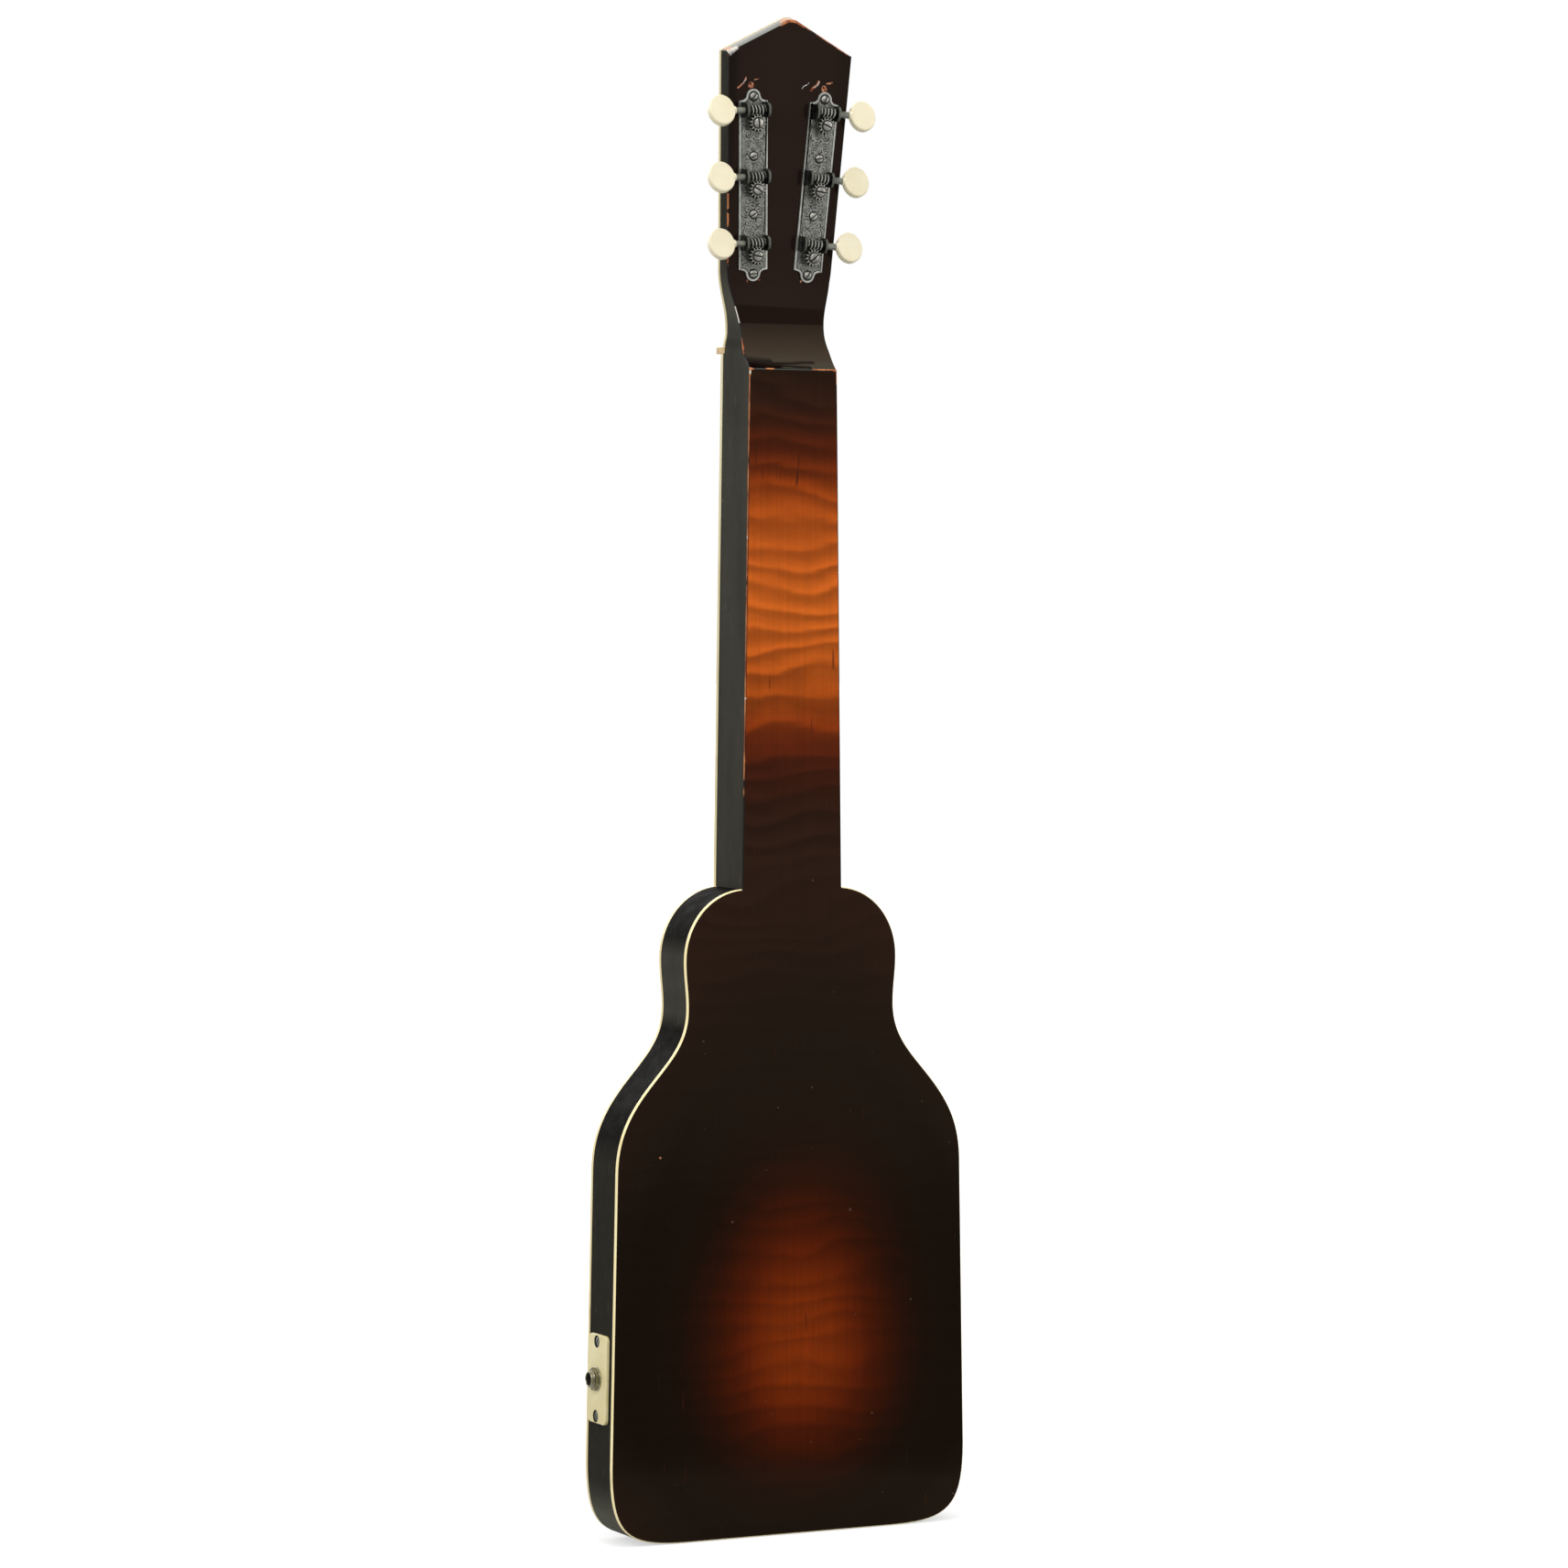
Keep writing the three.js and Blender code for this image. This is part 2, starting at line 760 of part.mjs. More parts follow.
function makeVeneer() {
  const edge = inset(headOutline(curvedFoot(veneerStart)), head.bindingWidth + gap);
  const holes = [];
  for (const { sign } of sides) {
    for (const number of postNumbers) {
      const place = postPlace(sign, number);
      const hole = rod(post.radius + gap, headTopY - overrun, overrun, post.sides);
      holes.push(hole.translate(place.x, 0, place.z));
    }
  }
  return geometryOf(cut(solid(slab(edge, -gap, headTopY)), ...holes));
}

function makeNut() {
  const high = nutRise + nut.thickness;
  const block = box(at(-nut.width / 2, nutTopY, nutRise), at(nut.width / 2, seatY - gap, high));
  return geometryOf(cut(solid(block), ...stringSlots(strings.nutSpacing, nutRise, high, nutTopY)));
}

// One slot for each string, cut down from an open top.
function stringSlots(spacing, low, high, topY) {
  return strings.diameters.map((diameter, i) => {
    const x = stringOffset(i) * spacing;
    const half = diameter / 2 + gap;
    return box(at(x - half, topY - overrun, low - overrun), at(x + half, stringY + half, high + overrun));
  });
}

// Strings run from the treble side, thinnest first. The offset counts string spacings from the centre line.
function stringOffset(index) {
  return (strings.diameters.length - 1) / 2 - index;
}

const lipRise = saddleRise + bridge.saddleFromTop - bridge.length + bridge.lipFromTail;
const ballRise = lipRise - bridge.lipThickness / 2 - strings.ballRadius - gap;

function stringX(index, rise) {
  const share = (rise - saddleRise) / scaleLength;
  return stringOffset(index) * THREE.MathUtils.lerp(strings.saddleSpacing, strings.nutSpacing, share);
}

// The outermost strings go to the outer side of the first posts and wind down to the cross hole.
// The others go to the inner side of their posts and wind up to it.
// The route of one string from its ball end over saddle and nut to the last turn round its post.
function stringRoute(index) {
  const sign = stringOffset(index) > 0 ? 1 : -1;
  const number = Math.min(index, strings.diameters.length - 1 - index);
  const outside = number === 0;
  const radius = strings.diameters[index] / 2;
  const toHead = headFrame.clone().invert();
  const nutMiddle = nutRise + nut.thickness / 2;
  const route = [
    at(stringX(index, ballRise), stringY, ballRise),
    at(stringX(index, nutRise), stringY, nutRise),
    at(stringX(index, nutMiddle), stringY, nutMiddle),
  ];
  const from = route[2].clone().applyMatrix4(toHead);
  const wrap = post.radius + gap + radius;
  const centre = postPlace(sign, number);
  const climb = (outside ? -1 : 1) * (strings.diameters[index] + strings.wrapGap);
  const start = headTopY - post.holeHeight + climb * strings.turns[index];
  // The second string passes the first post close by, on its inner side.
  if (number === 1) {
    const first = postPlace(sign, 0);
    const share = (first.z - from.z) / (centre.z - from.z);
    const y = THREE.MathUtils.lerp(from.y, start, share);
    from.set(first.x - sign * wrap, y, first.z);
    route.push(from.clone().applyMatrix4(headFrame));
  }
  const away = new THREE.Vector2(from.x - centre.x, from.z - centre.z);
  const spin = outside ? sign : -sign;
  const tangent = away.angle() + spin * Math.acos(wrap / away.length());
  const steps = Math.round(strings.turns[index] * strings.stepsPerTurn);
  for (let i = 0; i <= steps; i += 1) {
    const angle = tangent + (spin * 2 * Math.PI * i) / strings.stepsPerTurn;
    const y = start - (climb * i) / strings.stepsPerTurn;
    const p = at(centre.x + wrap * Math.cos(angle), y, centre.z + wrap * Math.sin(angle));
    route.push(p.applyMatrix4(headFrame));
  }
  return route;
}

// The least free distance between stretches of a wire that are more than half a turn apart along it
function leastGap(route, radius) {
  let least = Infinity;
  const apart = strings.stepsPerTurn / 2;
  for (let i = 0; i < route.length; i += 1) {
    for (let j = i + apart; j < route.length; j += 1) {
      least = Math.min(least, route[i].distanceTo(route[j]) - 2 * radius);
    }
  }
  return least;
}

function makeString(index) {
  const radius = strings.diameters[index] / 2;
  const route = stringRoute(index);
  console.log(`string ${index + 1}: least gap between its turns ${leastGap(route, radius).toFixed(2)} mm`);
  const half = strings.ballLength / 2;
  const ball = alongX(rod(strings.ballRadius, -half, half, strings.ballSides));
  ball.translate(route[0].x, route[0].y, route[0].z);
  return geometryOf(join(wire(route, radius, strings.sides), ball));
}

// The base plate of the bridge with its saddle bar, and a taller lip behind it that holds the ball ends
function makeBridge() {
  const top = saddleRise + bridge.saddleFromTop;
  const middle = top - bridge.length / 2;
  const baseY = frontY - gap;
  const sheet = roundedRectangle(bridge.width, bridge.length, bridge.cornerRadius);
  const base = slab(sheet, baseY, baseY - bridge.baseThickness).translate(0, 0, middle);
  const bar = (rise, thickness, topY) => {
    const half = bridge.width / 2 - bridge.cornerRadius;
    return slab(rectangle(half, rise - thickness / 2, rise + thickness / 2), baseY, topY);
  };
  const saddle = bar(saddleRise, bridge.saddleThickness, stringY);
  const lip = bar(lipRise, bridge.lipThickness, stringY - bridge.lipProud);
  const slots = stringSlots(strings.saddleSpacing, saddleRise, saddleRise, stringY);
  const holes = strings.diameters.map((diameter, i) => {
    const hole = rod(diameter / 2 + gap, -overrun, overrun, 6).rotateX(Math.PI / 2);
    return hole.translate(stringX(i, lipRise), stringY, lipRise);
  });
  for (const x of [-1, 1]) {
    for (const z of [-1, 1]) {
      const hole = rod(bridge.screwRadius, baseY - bridge.baseThickness - overrun, baseY + overrun, 10);
      const holeX = x * (bridge.width / 2 - bridge.screwInset);
      const holeZ = middle + z * (bridge.length / 2 - bridge.screwInset);
      holes.push(hole.translate(holeX, 0, holeZ));
    }
  }
  return geometryOf(cut(join(base, saddle, lip), ...slots, ...holes));
}

// Pickup: a magnet on the floor of the route, the coil on it, a blade through the coil, and a cover over all

function makePickupCover() {
  const topY = frontY - gap - pickup.coverThickness;
  const sheet = roundedRectangle(pickup.coverWidth, pickup.coverLength, pickup.coverRadius);
  const plate = slab(sheet, frontY - gap, topY);
  const slot = box(
    at(-pickup.bladeWidth / 2 - gap, topY - overrun, -pickup.bladeThickness / 2 - gap),
    at(pickup.bladeWidth / 2 + gap, frontY + overrun, pickup.bladeThickness / 2 + gap),
  );
  return geometryOf(cut(solid(plate), slot)).translate(0, 0, pickup.rise);
}

function makeCoil() {
  const { coil } = pickupStack();
  const turns = roundedRectangle(pickup.coilWidth, pickup.coilLength, pickup.coverRadius);
  const block = slab(turns, coil, coil - pickup.coilDepth);
  const slot = box(
    at(-pickup.bladeWidth / 2 - gap, coil - pickup.coilDepth - overrun, -pickup.bladeThickness / 2 - gap),
    at(pickup.bladeWidth / 2 + gap, coil + overrun, pickup.bladeThickness / 2 + gap),
  );
  return geometryOf(cut(solid(block), slot)).translate(0, 0, pickup.rise);
}

function makeBlade() {
  const { coil, bladeTop } = pickupStack();
  const half = pickup.bladeThickness / 2;
  return slab(rectangle(pickup.bladeWidth / 2, pickup.rise - half, pickup.rise + half), coil, bladeTop);
}

function makeMagnet() {
  const { magnet } = pickupStack();
  const half = pickup.magnetLength / 2;
  const bar = rectangle(pickup.magnetWidth / 2, pickup.rise - half, pickup.rise + half);
  return slab(bar, magnet, magnet - pickup.magnetDepth);
}

// Controls: the potentiometer hangs under the top, its bushing and shaft stand through it

function makePot() {
  const top = cavity.ceilingY + gap;
  const bushingTop = frontY - controls.bushingReach;
  const shaftTop = frontY - controls.shaftReach;
  return turned([
    [0, shaftTop],
    [controls.shaftRadius, shaftTop],
    [controls.shaftRadius, bushingTop],
    [controls.bushingRadius, bushingTop],
    [controls.bushingRadius, top],
    [controls.potRadius, top],
    [controls.potRadius, top + controls.potDepth],
    [0, top + controls.potDepth],
  ], controls.sides);
}

// A fluted knob on a plain skirt, bored for the shaft and relieved for the bushing
function makeKnob() {
  const low = frontY - controls.knobClearance;
  const top = low - controls.knobHeight;
  const skirtTop = low - controls.knobSkirt;
  const points = [];
  for (let i = 0; i < controls.flutes * 2; i += 1) {
    const angle = (Math.PI * i) / controls.flutes;
    const radius = controls.knobTopRadius - (i % 2) * controls.fluteDepth;
    points.push(new THREE.Vector2(radius * Math.cos(angle), radius * Math.sin(angle)));
  }
  const grip = slab(points, skirtTop + gap, top);
  const skirt = rod(controls.knobRadius, skirtTop, low, controls.flutes);
  const hollow = (radius, reach) => rod(radius, frontY - reach - gap, low + overrun, controls.sides);
  const bore = hollow(controls.shaftRadius + runningGap, controls.shaftReach);
  const relief = hollow(controls.bushingRadius + gap, controls.bushingReach);
  return geometryOf(cut(join(grip, skirt), bore, relief));
}

// Jack pieces are in a frame on the treble side's flat stretch, whose X points out of that side.

const plateInside = gap;
const plateOutside = plateInside + jackPlate.thickness;

function makeJackPlate() {
  const sheet = roundedRectangle(jackPlate.width, jackPlate.height, jackPlate.cornerRadius);
  const plate = slab(sheet, 0, -jackPlate.thickness)
    .rotateZ(Math.PI / 2)
    .translate(plateInside, 0, 0);
  const hole = alongX(rod(jack.barrelRadius + gap, -overrun, plateOutside + overrun, jack.sides));
  const screwRadius = jackPlate.screwHeadRadius + jackPlate.screwHeadGap;
  const screwHole = alongX(rod(screwRadius, -overrun, plateOutside + overrun, jack.sides));
  const holes = [-1, 1].map((end) => screwHole.clone().translate(0, 0, (end * jackPlate.screwSpacing) / 2));
  return geometryOf(cut(solid(plate), hole, ...holes));
}

function makeJack() {
  const flange = plateInside - gap;
  const inner = flange - jack.housingLength;
  const mouth = plateOutside + jack.mouthReach;
  return alongX(turned([
    [0, inner],
    [jack.housingRadius, inner],
    [jack.housingRadius, flange],
    [jack.barrelRadius, flange],
    [jack.barrelRadius, mouth],
    [jack.boreRadius, mouth],
    [jack.boreRadius, inner + jack.tipWall],
    [0, inner + jack.tipWall],
  ], jack.sides));
}

function makeJackNut() {
  const low = plateOutside + gap;
  const high = low + jack.nutThickness;
  const hexagon = alongX(rod(jack.nutWidth / Math.sqrt(3), low, high, 6));
  const bore = alongX(rod(jack.barrelRadius + gap, low - overrun, high + overrun, jack.sides));
  return geometryOf(cut(solid(hexagon), bore));
}

function makeJackScrew() {
  const seat = gap;
  const top = seat + jackPlate.screwHeadHeight;
  const screw = alongX(turned([
    [0, seat - jackPlate.screwShankLength],
    [jackPlate.screwShankRadius, seat - jackPlate.screwShankLength],
    [jackPlate.screwShankRadius, seat],
    [jackPlate.screwHeadRadius, seat],
    [jackPlate.screwHeadRadius, top],
    [0, top],
  ], 10));
  const half = jackPlate.slotWidth / 2;
  const slot = box(at(top - half, -overrun, -half), at(top + overrun, overrun, half));
  return geometryOf(cut(solid(screw), slot));
}

// Tuners

// A slotted round head on the Y axis: its underside at a height, with the slot across X.
function slottedHead(radius, low, height, slotWidth, slotDepth, sidesCount) {
  const high = low + height;
  const dome = turned([
    [0, low],
    [radius, low],
    [radius, low + height / 2],
    [radius * domeShare, high],
    [0, high],
  ], sidesCount);
  const half = slotWidth / 2;
  const reach = radius + overrun;
  const slot = box(at(-reach, high - slotDepth, -half), at(reach, high + overrun, half));
  return { dome, slot };
}

// Each end of a plate slopes in a double curve from its corners to a round tab.
function plateOutline() {
  const half = tunerPlate.width / 2;
  const low = -tunerPlate.below;
  const high = tuner.pitch * (postNumbers.length - 1) + tunerPlate.beyond;
  const radius = tunerPlate.tabRadius;
  const tilt = THREE.MathUtils.degToRad(tunerPlate.tabTilt);
  const topTab = high + tunerPlate.tabReach;
  const lowTab = low - tunerPlate.tabReach;
  const onTab = (angle) => new THREE.Vector2(radius * Math.cos(angle), topTab + radius * Math.sin(angle));
  const corner = new THREE.Vector2(half, high);
  const shoulder = new THREE.Vector2(half * tunerPlate.shoulderShare, high + tunerPlate.shoulderRise);
  const { cornerAngle, shoulderAngle, shoulderHandleShare, tabSegments } = tunerPlate;
  const side = [
    corner,
    ...flow(corner, cornerAngle, shoulder, shoulderAngle, shoulderHandleShare, 2),
    ...flow(shoulder, shoulderAngle, onTab(tilt), 90 + tunerPlate.tabTilt, shoulderHandleShare, 3),
  ];
  const tab = [];
  for (let i = 1; i < tabSegments; i += 1) {
    tab.push(onTab(tilt + ((Math.PI - 2 * tilt) * i) / tabSegments));
  }
  const topEnd = [...side, ...tab, ...mirrored(side).reverse()];
  const lowEnd = topEnd.map((p) => new THREE.Vector2(-p.x, low + high - p.y));
  return { points: [...topEnd, ...lowEnd], lowTab, topTab };
}

// One plate with its riveted bearing ears and its four round-headed wood screws
function makeTunerPlate() {
  const { points, lowTab, topTab } = plateOutline();
  const top = gap + tunerPlate.thickness;
  let plate = solid(slab(points, top, gap));
  const slots = [];
  const { screwRadius, screwHeight, slotWidth, slotDepth, earOffset } = tunerPlate;
  const middleScrews = tunerPlate.screwPitchShares.map((share) => share * tuner.pitch);
  [lowTab, ...middleScrews, topTab].forEach((rise, k) => {
    const { dome, slot } = slottedHead(screwRadius, top - runningGap, screwHeight, slotWidth, slotDepth, 8);
    const turn = THREE.MathUtils.degToRad(tunerPlate.slotTurn * k);
    plate = plate.add(solid(dome.translate(0, 0, rise)));
    slots.push(slot.rotateY(turn).translate(0, 0, rise));
  });
  for (const number of postNumbers) {
    const rise = tuner.pitch * number;
    for (const end of [-1, 1]) {
      plate = plate.add(solid(ear().translate(end * earOffset, 0, rise + wormOffset)));
    }
    slots.push(rod(post.radius + gap, -overrun, top + overrun, post.sides).translate(0, 0, rise));
    const reach = earOffset + tunerPlate.earThickness;
    const bearing = alongX(rod(worm.journalRadius + runningGap, -reach, reach, worm.sides));
    slots.push(bearing.translate(0, top + worm.height, rise + wormOffset));
  }
  return geometryOf(cut(plate, ...slots));
}

function ear() {
  const half = tunerPlate.earWidth / 2;
  const low = gap + tunerPlate.thickness / 2;
  const high = gap + tunerPlate.thickness + tunerPlate.earHeight;
  const radius = tunerPlate.earTopRadius;
  const shape = new THREE.Shape();
  shape.moveTo(low, -half);
  shape.lineTo(high - radius, -half);
  shape.absarc(high - radius, radius - half, radius, -Math.PI / 2, 0);
  shape.absarc(high - radius, half - radius, radius, 0, Math.PI / 2);
  shape.lineTo(low, half);
  return beam(shape.getPoints(3), tunerPlate.earThickness / 2);
}

function makeWorm() {
  const inner = tunerPlate.earOffset - tunerPlate.earThickness / 2 - gap;
  const outer = tunerPlate.earOffset + tunerPlate.earThickness / 2;
  const end = button.offset - button.width / 2 + button.bore - gap;
  const chamfer = worm.tipRadius - worm.rootRadius;
  // An even number of turns, so that a gap between threads faces the gear's tooth
  const turns = 2 * Math.ceil(inner / wormPitch + 1);
  const { rootShare, tipShare } = worm;
  const lines = [(1 - rootShare) / 2, (1 - tipShare) / 2, (1 + tipShare) / 2, (1 + rootShare) / 2];
  const radii = [worm.rootRadius, worm.tipRadius, worm.tipRadius, worm.rootRadius];
  const envelope = alongX(turned([
    [0, -inner],
    [worm.rootRadius, -inner],
    [worm.tipRadius, chamfer - inner],
    [worm.tipRadius, inner - chamfer],
    [worm.rootRadius, inner],
    [0, inner],
  ], worm.sides));
  const shaft = alongX(turned([
    [0, -outer],
    [worm.journalRadius, -outer],
    [worm.journalRadius, outer + gap],
    [worm.shaftRadius, outer + gap],
    [worm.shaftRadius, end],
    [0, end],
  ], worm.sides));
  const threads = solid(thread(wormPitch, turns, radii, lines, worm.sides)).intersect(solid(envelope));
  return geometryOf(threads.add(solid(shaft)));
}

// A wheel of helical teeth on the Y axis, with one tooth towards Z, the worm's side.
function makeGear() {
  const meshRadius = (worm.tipRadius + worm.rootRadius) / 2;
  const pitchRadius = (gear.tipRadius + gear.rootRadius) / 2;
  const lead = wormPitch / (2 * Math.PI * meshRadius);
  const twist = (lead * gear.thickness) / pitchRadius;
  const layer = (turn, y) => {
    const ring = [];
    for (let tooth = 0; tooth < gear.teeth; tooth += 1) {
      const { rootShare, tipShare } = gear;
      const offsets = [-rootShare / 2, -tipShare / 2, tipShare / 2, rootShare / 2];
      const radii = [gear.rootRadius, gear.tipRadius, gear.tipRadius, gear.rootRadius];
      offsets.forEach((offset, k) => {
        const angle = (2 * Math.PI * (tooth + offset)) / gear.teeth + turn;
        ring.push(at(radii[k] * Math.sin(angle), y, radii[k] * Math.cos(angle)));
      });
    }
    return ring;
  };
  const low = layer(-twist / 2, -gear.thickness / 2);
  const high = layer(twist / 2, gear.thickness / 2);
  const count = low.length;
  const vertices = [...low, ...high, at(0, -gear.thickness / 2, 0), at(0, gear.thickness / 2, 0)];
  const triangles = [];
  for (let k = 0; k < count; k += 1) {
    const next = (k + 1) % count;
    triangles.push(k, next, count + next, k, count + next, count + k);
    triangles.push(2 * count, next, k, 2 * count + 1, count + k, count + next);
  }
  const boreRadius = post.spigotRadius + gear.boreGap;
  const bore = rod(boreRadius, -overrun - gear.thickness, gear.thickness + overrun, gear.boreSides);
  return geometryOf(cut(solid(fromTriangles(vertices, triangles)), bore));
}

const plateTop = gap + tunerPlate.thickness;
const gearLow = plateTop + worm.height - gear.thickness / 2;
const gearHigh = gearLow + gear.thickness;

// The turn of a post's cross hole that brings its mouth to the end of the string, in the frame of the plate
function holeAngle(sign, number) {
  const index = sign > 0 ? number : strings.diameters.length - 1 - number;
  const end = stringRoute(index).pop().applyMatrix4(headFrame.clone().invert());
  end.sub(postPlace(sign, number));
  return Math.atan2(end.z, end.x * sign) + THREE.MathUtils.degToRad(tuner.lean);
}

// The post's heights are in the frame of its plate, whose zero is the head's back.
function makePost(holeAngle) {
  const foot = headTopY - head.coreThickness - post.height;
  const shoulder = gearLow - gap / 2;
  const spigotTop = gearHigh - gap;
  const threadRadius = gearScrew.shankRadius + gearScrew.shankGap;
  const shape = turned([
    [0, foot],
    [post.domeRadius, foot],
    [post.radius, foot + post.domeHeight],
    [post.radius, shoulder],
    [post.spigotRadius, shoulder],
    [post.spigotRadius, spigotTop],
    [threadRadius, spigotTop],
    [threadRadius, spigotTop - post.threadDepth],
    [0, spigotTop - post.threadDepth],
  ], post.sides);
  const holeY = headTopY - head.coreThickness - post.holeHeight;
  const hole = alongX(rod(post.holeRadius, -post.radius * 2, post.radius * 2, 8)).rotateY(-holeAngle);
  return geometryOf(cut(solid(shape), hole.translate(0, holeY, 0)));
}

function makeGearScrew() {
  const low = gearHigh + gap / 2;
  const { headRadius, headHeight, slotWidth, slotDepth } = gearScrew;
  const { dome, slot } = slottedHead(headRadius, low, headHeight, slotWidth, slotDepth, gearScrew.sides);
  const shank = rod(gearScrew.shankRadius, gearHigh - post.threadDepth, low + headHeight / 4, 8);
  return geometryOf(cut(join(dome, shank), slot));
}

// An oval disc across Y, moulded on the worm's shaft
function makeButton() {
  const half = button.thickness / 2;
  const profile = [
    [0, -half],
    [1 - button.edge / button.height, -half],
    [1, button.edge - half],
    [1, half - button.edge],
    [1 - button.edge / button.height, half],
    [0, half],
  ];
  const disc = turned(profile, button.sides).scale(button.width / 2, 1, button.height / 2);
  const boreEnd = button.bore - button.width / 2;
  const bore = alongX(rod(worm.shaftRadius + gap / 2, -button.width, boreEnd, worm.sides));
  return geometryOf(cut(solid(disc), bore));
}

// Assembly

add('body', makeBody(), lacqueredMaple);
add('back_binding', makeBodyBinding(backY, backY - binding.height), agedIvoroid);
add('front_binding', makeBodyBinding(frontY + binding.height, frontY), agedIvoroid);
add('fingerboard', makeFingerboard(), rosewood);
add('fingerboard_binding', makeFingerboardBinding(), agedIvoroid);
add('nut', makeNut(), bone);
add('bridge', makeBridge(), agedNickel);
strings.diameters.forEach((diameter, i) => {
  const isPlain = i < strings.diameters.length / 2;
  add(`string_${i + 1}`, makeString(i), isPlain ? plainSteel : woundNickel);
});

add('pickup_cover', makePickupCover(), blackPlastic);
add('pickup_coil', makeCoil(), copperCoil);
add('pickup_blade', makeBlade(), plainSteel);
add('pickup_magnet', makeMagnet(), greyMagnet);

for (const [name, rise] of [['volume', controls.volumeRise], ['tone', controls.toneRise]]) {
  add(`${name}_pot`, makePot(), brownCard).position.set(controls.offset, 0, rise);
  add(`${name}_knob`, makeKnob(), blackPlastic).position.set(controls.offset, 0, rise);
}

const jackGroup = new THREE.Group();
jackGroup.applyMatrix4(jackMatrix);
guitar.add(jackGroup);
add('jack_plate', makeJackPlate(), ivoryPlastic, jackGroup);
add('jack', makeJack(), agedNickel, jackGroup);
add('jack_nut', makeJackNut(), agedNickel, jackGroup);
for (const [name, end] of [['upper', 1], ['lower', -1]]) {
  const screw = add(`jack_plate_screw_${name}`, makeJackScrew(), darkSteel, jackGroup);
  screw.position.z = (end * jackPlate.screwSpacing) / 2;
}

const headGroup = new THREE.Group();
headGroup.applyMatrix4(headFrame);
guitar.add(headGroup);
add('head_veneer', makeVeneer(), blackLacquer, headGroup);
const headEdge = ribbon(headOutline(curvedFoot(veneerStart)), head.bindingWidth);
add('head_binding', slab(headEdge, -gap, headTopY), agedIvoroid, headGroup);

for (const { name, sign } of sides) {
  const strip = new THREE.Group();
  const first = postPlace(sign, 0);
  strip.position.set(first.x, head.coreThickness, first.z);
  strip.rotation.y = sign * THREE.MathUtils.degToRad(tuner.lean);
  strip.scale.x = sign;
  headGroup.add(strip);
  add(`tuner_plate_${name}`, makeTunerPlate(), agedNickel, strip);
  for (const number of postNumbers) {
    const rise = tuner.pitch * number;
    const label = `${name}_${number + 1}`;
    add(`post_${label}`, makePost(holeAngle(sign, number)), agedNickel, strip).position.z = rise;
    add(`gear_${label}`, makeGear(), darkSteel, strip).position.set(0, plateTop + worm.height, rise);
    add(`gear_screw_${label}`, makeGearScrew(), agedNickel, strip).position.z = rise;
    const drive = new THREE.Group();
    drive.position.set(0, plateTop + worm.height, rise + wormOffset);
    strip.add(drive);
    add(`worm_${label}`, makeWorm(), darkSteel, drive);
    const knob = add(`button_${label}`, makeButton(), ivoryPlastic, drive);
    knob.position.x = button.offset;
    knob.rotation.x = THREE.MathUtils.degToRad(button.turn);
  }
}

export default guitar;
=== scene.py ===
"""A lap steel guitar of figured maple in a dark sunburst, standing on its tail end and seen from behind.

Lengths are in millimetres until a piece is finished, which puts it in metres in the shared frame.
"""
import math

import bmesh
import bpy
from mathutils import Matrix, Vector
from mathutils.geometry import interpolate_bezier


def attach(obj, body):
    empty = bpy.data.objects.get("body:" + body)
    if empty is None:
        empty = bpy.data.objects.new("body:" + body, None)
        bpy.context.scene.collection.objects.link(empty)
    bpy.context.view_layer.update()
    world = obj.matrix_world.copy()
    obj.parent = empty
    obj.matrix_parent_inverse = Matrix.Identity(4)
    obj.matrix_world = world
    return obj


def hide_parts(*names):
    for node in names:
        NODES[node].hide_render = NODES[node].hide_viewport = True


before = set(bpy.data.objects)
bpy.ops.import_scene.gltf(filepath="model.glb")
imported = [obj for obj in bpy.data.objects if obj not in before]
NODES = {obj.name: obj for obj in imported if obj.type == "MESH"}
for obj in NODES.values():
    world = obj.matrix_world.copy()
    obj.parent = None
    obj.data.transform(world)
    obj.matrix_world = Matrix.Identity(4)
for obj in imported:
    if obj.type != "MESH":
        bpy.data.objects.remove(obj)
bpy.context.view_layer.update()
GUITAR = "guitar"


# Camera

# Where the photograph was taken from, in metres and degrees, and its focal length and width in pixels.
CAMERA_PLACE = (1.289738, 2.581859, 0.510871)
CAMERA_TURN, CAMERA_RISE, CAMERA_ROLL = (math.radians(a) for a in (153.3951, 2.2197, 0.1535))
FOCAL_PIXELS, WIDE_PIXELS = 5927.95, 1713


def place_camera():
    back = Vector((
        math.sin(CAMERA_TURN) * math.cos(CAMERA_RISE),
        -math.cos(CAMERA_TURN) * math.cos(CAMERA_RISE),
        math.sin(CAMERA_RISE),
    ))
    level = (-back).cross(Vector((0, 0, 1))).normalized()
    right = Matrix.Rotation(CAMERA_ROLL, 3, back) @ level
    data = bpy.data.cameras.new("camera")
    data.sensor_fit = "HORIZONTAL"
    data.sensor_width = 36
    data.lens = data.sensor_width * FOCAL_PIXELS / WIDE_PIXELS
    camera = bpy.data.objects.new("camera", data)
    basis = Matrix((right, back.cross(right), back)).transposed().to_4x4()
    camera.matrix_world = Matrix.Translation(CAMERA_PLACE) @ basis
    bpy.context.scene.collection.objects.link(camera)
    bpy.context.scene.camera = camera


place_camera()


# Materials

# Where the parts of the burst meet, in metres up: body and neck, neck and head.
BODY_END, NECK_END = 0.362, 0.6186


def colour(value):
    """A linear colour from an sRGB hex value."""
    parts = [int(value[i:i + 2], 16) / 255 for i in (1, 3, 5)]
    return [p / 12.92 if p <= 0.04045 else ((p + 0.055) / 1.055) ** 2.4 for p in parts] + [1]


